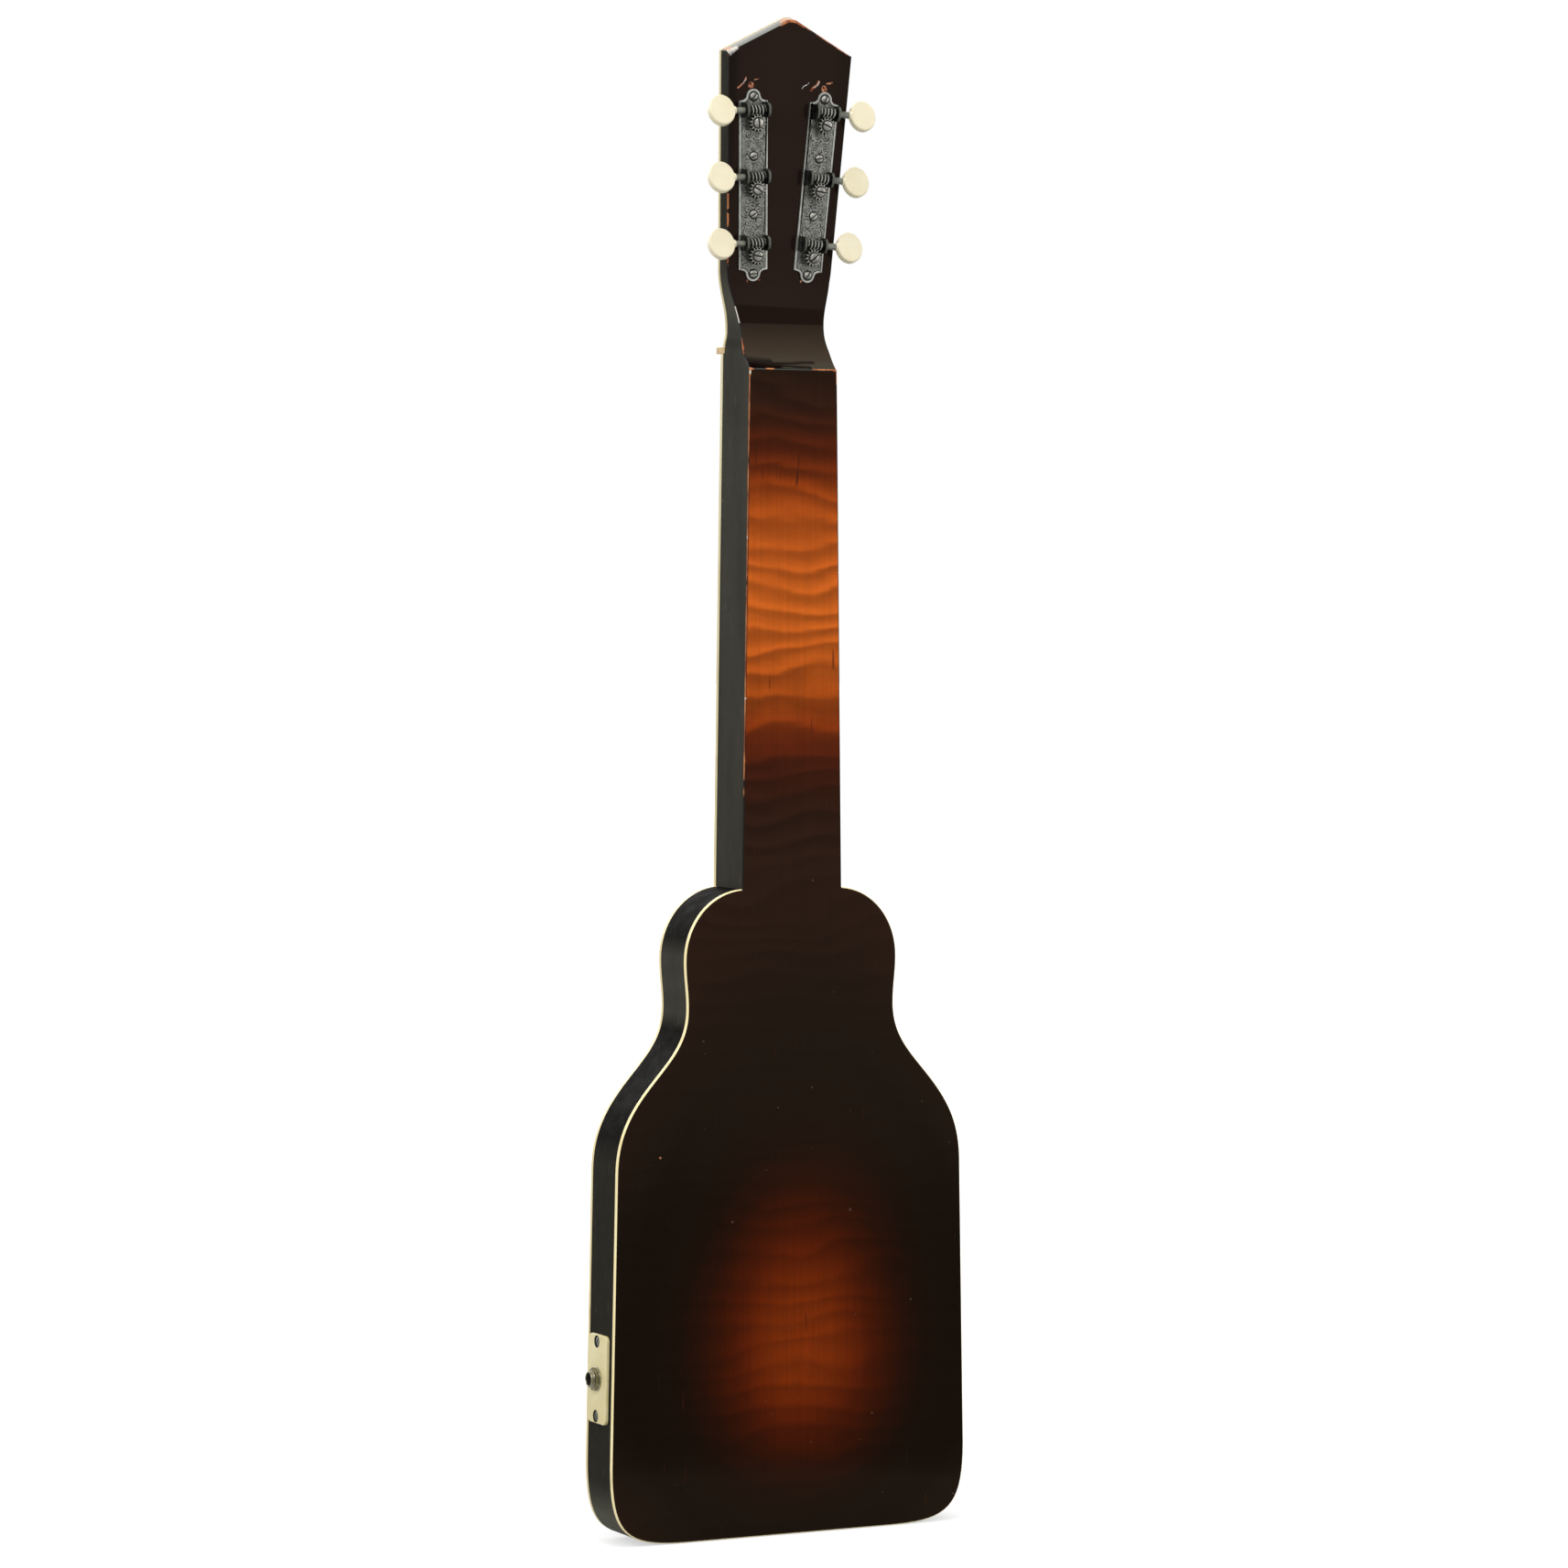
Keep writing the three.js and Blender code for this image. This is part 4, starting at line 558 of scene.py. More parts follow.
def finish(name, bm, materials, replaces=(), body=GUITAR, smooth=32):
    """Makes a piece of a mesh in millimetres: metres, smooth shading, materials and body."""
    bmesh.ops.transform(bm, matrix=Matrix.Scale(0.001, 4), verts=bm.verts)
    mesh = bpy.data.meshes.new(name)
    bm.to_mesh(mesh)
    bm.free()
    mesh.shade_smooth()
    mesh.set_sharp_from_angle(angle=math.radians(smooth))
    for material in materials if isinstance(materials, list) else [materials]:
        mesh.materials.append(material)
    piece = bpy.data.objects.new(name, mesh)
    bpy.context.scene.collection.objects.link(piece)
    piece.modifiers.new("even_shading", "WEIGHTED_NORMAL").keep_sharp = True
    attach(piece, body)
    if replaces:
        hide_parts(replaces)
    return piece


def outward(bm):
    bmesh.ops.remove_doubles(bm, verts=bm.verts, dist=1e-4)
    bmesh.ops.recalc_face_normals(bm, faces=bm.faces)
    return bm


def rounded(bm, edges, width, segments=2):
    return bmesh.ops.bevel(
        bm, geom=edges, offset=width, offset_type="OFFSET", segments=segments,
        affect="EDGES", profile=0.5, material=-1, clamp_overlap=True,
    )["faces"]


def sharp_edges(bm, degrees=35):
    return [e for e in bm.edges if e.is_manifold and e.calc_face_angle() > math.radians(degrees)]


def softened(bm, width, segments=2):
    """Rounds every sharp edge."""
    rounded(bm, sharp_edges(bm), width, segments)
    return bm


def paint(faces, choose):
    """Gives each face its material's number, the same for all or chosen face by face."""
    for face in faces:
        face.material_index = choose(face) if callable(choose) else choose


def turned(degrees, axis):
    return Matrix.Rotation(math.radians(degrees), 4, axis)


def moved(x, y, z):
    return Matrix.Translation((x, y, z))


def placed(bm, matrix):
    bmesh.ops.transform(bm, matrix=matrix, verts=bm.verts)
    if matrix.determinant() < 0:
        bmesh.ops.reverse_faces(bm, faces=bm.faces)
    return bm


def flow(points, begin, begin_angle, end, end_angle, share, steps):
    """Adds to points a curve between two places with given headings in degrees."""
    a, b = Vector(begin), Vector(end)
    reach = (b - a).length * share
    turns = map(math.radians, (begin_angle, end_angle))
    leave, arrive = (Vector((math.cos(turn), math.sin(turn))) * reach for turn in turns)
    curve = interpolate_bezier(*(p.to_3d() for p in (a, a + leave, b - arrive, b)), steps + 1)
    points += [Vector(p[:2]) for p in curve[1:]]
    return points


def arc(x, y, radius, first, last, steps):
    """Points on a circle between two angles in degrees."""
    turns = [math.radians(first + (last - first) * i / steps) for i in range(steps + 1)]
    return [Vector((x + radius * math.cos(t), y + radius * math.sin(t))) for t in turns]


def inset(points, distance):
    """An open line moved to its left, with mitred corners."""
    normals = [Vector((a.y - b.y, b.x - a.x)).normalized() for a, b in zip(points, points[1:])]
    line = []
    for i, point in enumerate(points):
        before, after = normals[max(i - 1, 0)], normals[min(i, len(normals) - 1)]
        line.append(point + (before + after) / (1 + before.dot(after)) * distance)
    return line


def ribbon(points, width):
    return points + inset(points, width)[::-1]


def mirrored(points):
    return [Vector((-p.x, p.y)) for p in reversed(points)]


def drawn_out(corners, way):
    """A flat outline, drawn out to a solid."""
    bm = bmesh.new()
    face = bm.faces.new([bm.verts.new(c) for c in corners])
    made = bmesh.ops.extrude_face_region(bm, geom=[face])["geom"]
    bmesh.ops.translate(bm, vec=way, verts=[v for v in made if isinstance(v, bmesh.types.BMVert)])
    return outward(bm)


def slab(points, low, high):
    """An outline in X and Z, drawn out along Y."""
    return drawn_out([(x, low, z) for x, z in points], (0, high - low, 0))


def block(low, high, width=0.0):
    bm = bmesh.new()
    bmesh.ops.create_cube(bm, size=1)
    low, high = Vector(low), Vector(high)
    bmesh.ops.scale(bm, vec=high - low, verts=bm.verts)
    bmesh.ops.translate(bm, vec=(low + high) / 2, verts=bm.verts)
    if width:
        rounded(bm, bm.edges[:], width)
    return bm


def lathe(profile, steps=32):
    """A turned piece on the Y axis, from pairs of radius and height."""
    bm = bmesh.new()
    chain = [bm.verts.new((r, y, 0)) for r, y in profile]
    edges = [bm.edges.new(pair) for pair in zip(chain, chain[1:])]
    bmesh.ops.spin(
        bm, geom=chain + edges, cent=(0, 0, 0), axis=(0, 1, 0),
        angle=2 * math.pi, steps=steps, use_merge=True,
    )
    return outward(bm)


def together(parts):
    """One mesh of several, each of them closed."""
    whole = bmesh.new()
    for part in parts:
        mesh = bpy.data.meshes.new("part")
        part.to_mesh(mesh)
        part.free()
        whole.from_mesh(mesh)
        bpy.data.meshes.remove(mesh)
    return whole


def combined(first, second, operation):
    """The exact union or difference of two meshes, which keeps the number of each face's material."""
    objects = []
    for bm in (first, second):
        mesh = bpy.data.meshes.new("operand")
        bm.to_mesh(mesh)
        bm.free()
        mesh.materials.append(LACQUER)
        mesh.materials.append(WORN)
        objects.append(bpy.data.objects.new("operand", mesh))
        bpy.context.scene.collection.objects.link(objects[-1])
    modifier = objects[0].modifiers.new("join", "BOOLEAN")
    modifier.operation = operation
    modifier.solver = "EXACT"
    modifier.object = objects[1]
    modifier.material_mode = "INDEX"
    result = bmesh.new()
    result.from_mesh(objects[0].evaluated_get(bpy.context.evaluated_depsgraph_get()).to_mesh())
    for piece in objects:
        bpy.data.objects.remove(piece)
    return result


def refined(node, materials, width, body=GUITAR, choose=0):
    """A CAD node with its edges broken, in place of the node."""
    bm = bmesh.new()
    bm.from_mesh(NODES[node].data)
    bmesh.ops.transform(bm, matrix=Matrix.Scale(1000, 4), verts=bm.verts)
    bmesh.ops.remove_doubles(bm, verts=bm.verts, dist=1e-3)
    bmesh.ops.dissolve_limit(bm, angle_limit=math.radians(0.5), verts=bm.verts, edges=bm.edges)
    bm.normal_update()
    paint(bm.faces, choose)
    piece = finish(f"{node}_part", bm, materials, node, body)
    bevel = piece.modifiers.new("broken_edges", "BEVEL")
    bevel.width = width * 0.001
    bevel.segments = 2
    bevel.limit_method = "ANGLE"
    bevel.angle_limit = math.radians(30)
    piece.modifiers.move(1, 0)


# Shared places, as the CAD has them

BACK, FRONT = 17.0, -17.0
NUT_RISE, NUT_THICK, NUT_WIDTH, NUT_TOP = 627.6, 3.5, 51.4, -22.8
SADDLE_RISE, SCALE = 56.1, 571.5
BOARD_TOP, SEAT = -18.3, -14.0
# Thickness of the cream strips round the fingerboard and the head
EDGE_STRIP = 1.6
NECK_RISE, NECK_HALF, RIDGE = 344.4, 29.4, 618.7
BREAK_RISE = NUT_RISE + NUT_THICK * 0.3
HEAD_LEAN = math.radians(6.2)
HEAD = moved(0, SEAT, BREAK_RISE) @ Matrix.Rotation(-HEAD_LEAN, 4, "X")
HEAD_THICK, SCOOP_RISE = 9.3, 38.5
# The overlay's face, in front of the head's core
HEAD_FACE = -2.4
HEAD_CORNER, HEAD_TIP = Vector((36.4, 158.3)), Vector((0, 178.2))
# The body's sides run straight between these two places.
LOW_SIDE, HIGH_SIDE = (104.8, 42), (101.9, 196)
SIDE_TAPER = math.atan2(LOW_SIDE[0] - HIGH_SIDE[0], HIGH_SIDE[1] - LOW_SIDE[1])
POSTS = (0, 34.9, 69.8)
POST_ACROSS, POST_ALONG, POST_RADIUS, POST_DEEP = 16.6, 51.7, 2.8, 12
LEAN = math.radians(3.05)
WORM_OFFSET, WORM_HEIGHT = 6.7, 4.0
PLATE_TOP = 1.3
# Pieces that lie on each other keep this much air.
AIR = 0.02
JACK_RISE = 87.5
# The knobs sit side by side up the body, 66 mm from its middle.
KNOBS = (("volume", 150), ("tone", 98))
KNOB_ACROSS = 66
# Distance between strings, then each one's diameter and its turns round the post
NUT_SPACING, SADDLE_SPACING = 8, 10
WIRES = [(0.42, 2.25), (0.5, 2.25), (0.62, 2.25), (0.82, 2.25), (1.04, 2.25), (1.3, 1.25)]

# Places and sizes that only the photograph shows

# The point's front corner is worn away to the bass side.
TIP_SHIFT = -2.4
# Where the two slopes would meet, the point is rounded off over this length of each.
TIP_WEAR = 4.5
# The nut stands this much higher than in the CAD.
NUT_PROUD = 0.9
# The black of the neck's sides runs this far up the fingerboard's cream strip.
STRIP_BLACK = 1.35


def neck_half(rise):
    return NECK_HALF + (rise - NECK_RISE) / (NUT_RISE - NECK_RISE) * (NUT_WIDTH / 2 - NECK_HALF)


def strip_frame(sign, along=0, height=0):
    """A frame on one tuner strip: X outwards, Y out of the back, Z up the strip from the first post."""
    first = HEAD @ moved(sign * POST_ACROSS, HEAD_THICK, POST_ALONG) @ Matrix.Rotation(sign * LEAN, 4, "Y")
    return first @ Matrix.Diagonal((sign, 1, 1, 1)) @ moved(0, height, along)


def body_outline():
    """From the bass side's neck corner round the tail to the treble side's."""
    side, steps = 90 + math.degrees(SIDE_TAPER), 18
    half = [Vector((60, 0))]
    flow(half, (60, 0), 0, LOW_SIDE, 90, 0.58, steps)
    half.append(Vector(HIGH_SIDE))
    flow(half, HIGH_SIDE, side, (80.5, 244.5), 131.5, 0.39, steps)
    flow(half, (80.5, 244.5), 131.5, (61, 282), 90, 0.39, steps)
    flow(half, (61, 282), 90, (62.5, 307), 90, 0.39, 8)
    flow(half, (62.5, 307), 90, (NECK_HALF, NECK_RISE), 176, 0.39, steps)
    return mirrored(half) + half


def head_outline(low, steps=16):
    """The treble half of the head's outline, from a height near the nut to the tip."""
    half = [Vector((NUT_WIDTH / 2, low))]
    flow(half, half[0], 90, (24.7, 9.7), 90, 0.39, steps // 2)
    flow(half, (24.7, 9.7), 90, (30.9, 44.8), 87.2, 0.39, steps)
    return half + [HEAD_CORNER, HEAD_TIP]


# Body, neck and head core

def neck_stations():
    """Cross-sections up the neck and head: front and back places in Y and Z, and half widths.

    The neck is 0.02 mm wider on each side than the fingerboard's strip, so that no two faces coincide.
    """
    stations = []
    # The foot lies inside the body and comes up to its back where the body ends.
    for rise, depth in ((290, 15), (325, 15), (343.1, BACK), (400, BACK), (500, BACK), (600, BACK)):
        stations.append((Vector((SEAT, rise)), Vector((depth, rise)), neck_half(rise) + 0.02))
    to_head = HEAD.inverted()
    tip = HEAD @ Vector((0, HEAD_THICK, SCOOP_RISE))
    scoop = flow([Vector((BACK, RIDGE))], (BACK, RIDGE), 141, (tip.y, tip.z), 97, 0.36, 24)
    sides = head_outline(0, 160)
    backs = [(to_head @ Vector((0, p.x, p.y))).yz for p in scoop]
    backs += [Vector((HEAD_THICK, p.y)) for p in sides[:-1:10] if p.y > SCOOP_RISE + 0.5]
    backs += [Vector((HEAD_THICK, HEAD_CORNER.y))]
    for back in backs:
        below = min(back.y, 0)
        half = neck_half(BREAK_RISE + below / math.cos(HEAD_LEAN))
        for low, high in zip(sides, sides[1:-1]):
            if low.y < back.y <= high.y + 1e-6:
                half = low.x + (high.x - low.x) * (back.y - low.y) / (high.y - low.y)
        front = HEAD @ Vector((0, -below * math.tan(HEAD_LEAN), back.y))
        stations.append((front.yz, (HEAD @ Vector((0, back.x, back.y))).yz, half))
    # The point is worn over towards the back, so it is 1 mm lower there.
    ends = [(HEAD @ Vector((0, y, HEAD_TIP.y - worn))).yz for y, worn in ((0, 0), (HEAD_THICK, 1))]
    return stations + [(*ends, 0)]


def neck_and_head():
    bm = bmesh.new()
    stations = neck_stations()
    front, back, half = stations[0]
    corners = [(half, *front), (half, *back), (-half, *back), (-half, *front)]
    foot = face = bm.faces.new([bm.verts.new(c) for c in corners])
    for front, back, half in stations[1:]:
        middle = sum(v.co.y for v in face.verts) / 4
        made = bmesh.ops.extrude_face_region(bm, geom=[face])["geom"]
        if face is not foot:
            bmesh.ops.delete(bm, geom=[face], context="FACES_ONLY")
        face = next(g for g in made if isinstance(g, bmesh.types.BMFace))
        for vert in face.verts:
            place = back if vert.co.y > middle else front
            vert.co = (math.copysign(half, vert.co.x), place.x, place.y)
    middle = sum(v.co.y for v in face.verts) / 4
    for vert in face.verts:
        if vert.co.y < middle:
            vert.co.x = TIP_SHIFT
    outward(bm)
    to_head = HEAD.inverted()

    def beyond(edge, rise, depth=-100):
        return all((to_head @ v.co).z > rise and (to_head @ v.co).y > depth for v in edge.verts)

    rounded(bm, [e for e in bm.edges if beyond(e, 172)], TIP_WEAR, 6)
    gable = [e for e in bm.edges if beyond(e, 157, HEAD_THICK - 0.2) and e.calc_length() > 1]
    edges = [e for e in sharp_edges(bm, 20) if e not in gable and e.calc_length() > 0.01]
    paint(rounded(bm, edges, 0.7, 3), 1)
    gable = [e for e in sharp_edges(bm, 50) if beyond(e, 156, HEAD_THICK - 1) and e.calc_length() > 1]
    paint(rounded(bm, gable, 1.4, 4), 1)
    return bm


def body_slab():
    bm = slab(body_outline(), FRONT, BACK)
    rims = [e for e in bm.edges if abs(e.verts[0].co.y - e.verts[1].co.y) < 1e-3]
    rounded(bm, rims, 1.5, 5)
    return bm


def make_wood():
    whole = combined(body_slab(), neck_and_head(), "UNION")
    whole.normal_update()

    def finish_of(face):
        on_gable = face.normal.z > 0.5 and face.calc_center_median().z > 780
        on_side = face.material_index == 0 and abs(face.normal.y) < 0.5 and not on_gable
        return 2 if on_side else face.material_index

    paint(whole.faces, finish_of)
    finish("body_wood", whole, [LACQUER, WORN, SIDES], "body", smooth=30)


# Bindings

def swept(path, profile):
    """A strip along an open line in X and Z. The profile gives inset from the line and height in Y."""
    bm = bmesh.new()
    chains = []
    for distance, y in profile:
        verts = [bm.verts.new((p.x, y, p.y)) for p in inset(path, distance)]
        chains.append([bm.edges.new(pair) for pair in zip(verts, verts[1:])])
    for a, b in zip(chains, chains[1:] + chains[:1]):
        bmesh.ops.bridge_loops(bm, edges=a + b)
    bmesh.ops.holes_fill(bm, edges=[e for e in bm.edges if e.is_boundary], sides=0)
    return outward(bm)


def make_body_bindings():
    # Each strip covers the corner's rounding in part and some of the side, a hair proud of the wood.
    turn = [(1.5 - 1.5 * math.cos(a), 1.5 * math.sin(a)) for a in (0, 0.3, 0.6, 0.9)]
    for name, way, low in (("back", 1, 14.8), ("front", -1, 13.4)):
        profile = [(-0.05, low)] + [(d - 0.05, 15.5 + h) for d, h in turn] + [(1.2, 16.0), (1.2, low)]
        strip = placed(swept(body_outline(), profile), Matrix.Diagonal((1, way, 1, 1)))
        finish(f"binding_of_{name}", strip, CELLULOID, f"{name}_binding", smooth=40)


# Fingerboard, nut and head front

def tapered(margin, low, high):
    half = [Vector((neck_half(low) - margin, low)), Vector((neck_half(high) - margin, high))]
    return half + mirrored(half)


def make_fingerboard():
    high = NUT_RISE - 0.05
    board = softened(slab(tapered(EDGE_STRIP, 173.6, high), SEAT - AIR, BOARD_TOP), 0.15)
    finish("fingerboard_rosewood", board, ROSEWOOD, "fingerboard")
    edge = tapered(0, 172, high)
    strip = slab(ribbon(edge[2:] + edge[:2], EDGE_STRIP), SEAT - AIR, BOARD_TOP)
    everything = strip.verts[:] + strip.edges[:] + strip.faces[:]
    bmesh.ops.bisect_plane(strip, geom=everything, plane_co=(0, SEAT - STRIP_BLACK, 0), plane_no=(0, 1, 0))
    softened(strip, 0.2)
    paint(strip.faces, lambda face: int(face.calc_center_median().y > SEAT - STRIP_BLACK))
    finish("fingerboard_edge_strip", strip, [CELLULOID, SIDES], "fingerboard_binding")
    fret_rise = [SADDLE_RISE + SCALE * 2 ** (-number / 12) for number in range(27)]
    frets = []
    for rise in fret_rise[1:]:
        half = neck_half(rise) - 1.7
        side = [(0.9, -half), (1.05, -half + 0.4), (1.05, half - 0.4), (0.9, half)]
        crown = lathe([(0, -half), *side, (0, half)], 16)
        flattened = Matrix.Diagonal((1, 0.75, 1, 1))
        frets.append(placed(crown, moved(0, BOARD_TOP + 0.05, rise) @ flattened @ turned(90, "Z")))
    finish("frets", together(frets), NICKEL)
    dots = []
    low, top = BOARD_TOP - 0.06, BOARD_TOP + 0.1
    for number in (3, 5, 7, 9, 12, 15, 17, 19, 21, 24):
        rise = (fret_rise[number] + fret_rise[number - 1]) / 2
        for x in ((-12, 12) if number % 12 == 0 else (0,)):
            dots.append(placed(lathe([(0, low), (2.7, low), (3, top), (0, top)]), moved(x, 0, rise)))
    finish("position_markers", together(dots), PEARL)


def make_nut():
    end = NUT_WIDTH / 2
    nut = block((-end, NUT_TOP - NUT_PROUD, NUT_RISE), (end, SEAT - AIR, NUT_RISE + NUT_THICK))
    softened(nut, 0.35, 3)
    slots = []
    for index, (diameter, _) in enumerate(WIRES):
        middle, half = (2.5 - index) * NUT_SPACING, diameter / 2 + 0.25
        slots.append(block((middle - half, -25, NUT_RISE - 1), (middle + half, NUT_TOP - AIR, NUT_RISE + 5)))
    finish("bone_nut", combined(nut, together(slots), "DIFFERENCE"), BONE, "nut")


def make_head_front():
    *half, tip = head_outline((NUT_THICK * 0.7 + 0.05) / math.cos(HEAD_LEAN))
    tip = Vector((TIP_SHIFT, tip.y))
    low, high = (tip + (corner - tip).normalized() * TIP_WEAR for corner in (half[-1], mirrored(half)[0]))
    worn = [low.lerp(tip, k / 6).lerp(tip.lerp(high, k / 6), k / 6) for k in range(7)]
    path = half + worn + mirrored(half)
    edge = softened(slab(ribbon(path, EDGE_STRIP), -AIR, HEAD_FACE), 0.25)
    finish("head_edge_strip", placed(edge, HEAD), CELLULOID, "head_binding")
    face = slab(inset(path, EDGE_STRIP), -AIR, HEAD_FACE)
    finish("head_overlay", placed(face, HEAD), OVERLAY, "head_veneer")
    ring = [(3.1, -2.2), (5.0, -2.2), (5.0, -3.0), (4.6, -3.4), (3.5, -3.4), (3.1, -3.1), (3.1, -2.2)]
    places = [strip_frame(sign, along, -HEAD_THICK) for sign in (1, -1) for along in POSTS]
    rings = [placed(lathe(ring, 36), place) for place in places]
    finish("post_ferrules", together(rings), NICKEL)


# Tuners

# Where each screw's slot came to rest, in degrees from level, from the nut up
PLATE_SLOTS = {"treble": (5, 30, 20, 45), "bass": (60, 40, 15, 62)}
GEAR_SLOTS = {"treble": (-10, -35, -85), "bass": (45, -5, -20)}


def slotted(radius, low, height, slot=0.7, depth=0.6):
    """A domed screw head with its slot across X: two half domes on a black disc in a black seat, which with the slot's
    walls are painted shade.
    """
    dome = [(0, low), (radius, low)]
    dome += [(radius * math.cos(a), low + height * (0.35 + 0.65 * math.sin(a))) for a in (0, 0.35, 0.7, 1.05)]
    dome += [(radius * 0.22, low + height * 0.99), (0, low + height)]
    parts = []
    for sign in (1, -1):
        half = lathe(dome)
        bmesh.ops.bisect_plane(
            half, geom=half.verts[:] + half.edges[:] + half.faces[:],
            plane_co=(0, 0, sign * slot / 2), plane_no=(0, 0, sign), clear_inner=True,
        )
        rim = [e for e in half.edges if e.is_boundary]
        paint(bmesh.ops.holes_fill(half, edges=rim, sides=0)["faces"], 1)
        parts.append(outward(half))
    floor = low + height - depth
    for profile in (
        [(0, low), (radius * 0.97, low), (radius * 0.94, floor), (0, floor)],
        [(0, low), (radius + 0.6, low), (radius + 0.55, low + 0.16), (0, low + 0.16)],
    ):
        parts.append(lathe(profile))
        paint(parts[-1].faces, 1)
    return together(parts)


def plate_outline():
    """A long plate with hollow shoulders and a round tab at each end."""
    half, low, high, radius, centre = 8.4, -7.5, 81.3, 4.1, 83.4
    first = math.degrees(0.1)
    hip, *tab, _ = arc(0, centre, radius, first, 180 - first, 20)
    corner = Vector((half, high))
    points = flow([Vector((half, low)), corner], corner, 172, hip, 100, 0.42, 10) + tab
    points += mirrored(points[1:12])
    return points + [Vector((-p.x, low + high - p.y)) for p in points]


def bearing_ear(x, along):
    """An ear riveted through the plate, 1.4 mm thick, with a rounded top."""
    half, low, high, radius = 4.1, PLATE_TOP - 0.4, PLATE_TOP + 7.4, 3.2
    points = [Vector((low, -half))]
    points += arc(high - radius, radius - half, radius, -90, 0, 6)
    points += arc(high - radius, half - radius, radius, 0, 90, 6) + [Vector((low, half))]
    return softened(drawn_out([(x - 0.7, y, z + along) for y, z in points], (1.4, 0, 0)), 0.2)


def make_strip(sign, name):
    bm = slab(plate_outline(), PLATE_TOP, AIR)
    rounded(bm, [e for e in sharp_edges(bm) if all(v.co.y > PLATE_TOP - 0.01 for v in e.verts)], 0.3)
    paint(bm.faces, 2)
    parts = [bm]
    # A black cut line and the engraved field lie within the bright rim, 0.02 mm apart in height.
    points = plate_outline()
    for width, height, index in ((1.1, 0.02, 3), (1.5, 0.04, 0)):
        inner = inset([points[-1], *points, points[0]], width)[1:-1]
        parts.append(slab(inner, PLATE_TOP + height, PLATE_TOP - 0.1))
        paint(parts[-1].faces, index)
    parts += [bearing_ear(end, along + WORM_OFFSET) for along in POSTS for end in (-6.2, 6.2)]
    whole = together(parts)
    whole.normal_update()
    # The ears are lighter on top and near black on their flanks, as painted light and shade.
    ears = [face for face in whole.faces if any(v.co.y > PLATE_TOP + 0.2 for v in face.verts)]
    paint(ears, lambda face: 1 if abs(face.normal.x) > 0.5 else 4)
    layer = whole.loops.layers.uv.new("plate")
    for face in whole.faces:
        for loop in face.loops:
            loop[layer].uv = (loop.vert.co.x, loop.vert.co.z)
    placed(whole, strip_frame(sign))
    looks = [PLATE, SHADED_STEEL, RIM_AND_CREST_HIGHLIGHT, SHADE_AND_GRIME, EAR_STEEL]
    finish(f"tuner_strip_{name}", whole, looks, f"tuner_plate_{name}")
    screws = []
    for along, slot in zip((-9.6, 21.7, 52.2, 83.4), PLATE_SLOTS[name]):
        screws.append(placed(slotted(2.15, 1.22, 1.2), strip_frame(sign, along) @ turned(sign * slot, "Y")))
    finish(f"strip_screws_{name}", together(screws), [BRIGHT_SCREW, SHADE_AND_GRIME])


def make_button(place, label):
    # A flat oval disc with a straight rim and rounded corners, and a small collar where the shaft goes in.
    turns = [k * math.pi / 10 for k in range(6)]
    corner = [(0.9 + 0.1 * math.sin(turn), 1.25 + 0.85 * math.cos(turn)) for turn in turns]
    disc = lathe([(0, -2.1)] + [(r, -y) for r, y in corner] + corner[::-1] + [(0, 2.1)], 64)
    placed(disc, moved(20.9, 0, 0) @ turned(22, "X") @ Matrix.Diagonal((7.35, 1.0, 8.3, 1)))
    collar = placed(lathe([(0, 12.7), (1.95, 12.7), (2.15, 13.1), (2.3, 14.6), (0, 14.6)]), turned(-90, "Z"))
    button = placed(together([disc, collar]), place)
    finish(f"button_{label}_disc", button, IVORY, f"button_{label}", f"tuner_worm_{label}", 40)


def make_post(place, label, slot):
    body = f"tuner_post_{label}"
    foot = HEAD_FACE - HEAD_THICK - POST_DEEP
    waist = [(0, 0), (1.2, 0.05), (2.1, 0.3), (2.65, 0.8), (2.8, 1.4), (2.8, 4.4), (2.55, 5.2), (2.5, 6.6), (2.8, 7.6)]
    post = lathe([(r, foot + y) for r, y in waist] + [(POST_RADIUS, 2.0), (0, 2.0)], 36)
    finish(f"post_{label}_turned", placed(post, place), NICKEL, f"post_{label}", body, 40)
    screw = placed(slotted(2.6, 6.95, 1.3, 0.9, 0.75), place @ turned(slot, "Y"))
    finish(f"gear_screw_{label}_head", screw, [BRIGHT_SCREW, SHADE_AND_GRIME], f"gear_screw_{label}", body)


def make_gear(place, label):
    """Its top is lighter as the lit side, the tips of its teeth carry painted highlights, and the flanks and gaps are
    dark as painted shade.
    """
    to_post = place.inverted()

    def rubbed(face):
        centre = to_post @ face.calc_center_median()
        top = centre.y > 4 and abs((to_post.to_3x3() @ face.normal).y) > 0.9
        return int(top or math.hypot(centre.x, centre.z) > 4.55)

    refined(f"gear_{label}", [SHADED_STEEL, LIT_GEAR_STEEL], 0.12, f"tuner_post_{label}", rubbed)


def make_worm(drive, label):
    """The thread's crests carry a painted highlight, the shaft outside the ear is lighter as painted light, and the
    roots are dark as painted shade.
    """
    to_worm = drive.inverted()

    def rubbed(face):
        centre = to_worm @ face.calc_center_median()
        return 2 if centre.x > 7.2 else int(math.hypot(centre.y, centre.z) > 2.3)

    refined(f"worm_{label}", [SHADED_STEEL, RIM_AND_CREST_HIGHLIGHT, GREY_AND_LIT_STEEL], 0.1, f"tuner_worm_{label}", rubbed)


def make_tuners():
    for sign, name in ((1, "treble"), (-1, "bass")):
        make_strip(sign, name)
        for number, along in enumerate(POSTS):
            label = f"{name}_{number + 1}"
            place = strip_frame(sign, along)
            drive = strip_frame(sign, along + WORM_OFFSET, PLATE_TOP + WORM_HEIGHT)
            make_button(drive, label)
            make_post(place, label, sign * GEAR_SLOTS[name][number])
            make_gear(place, label)
            make_worm(drive, label)


# Jack

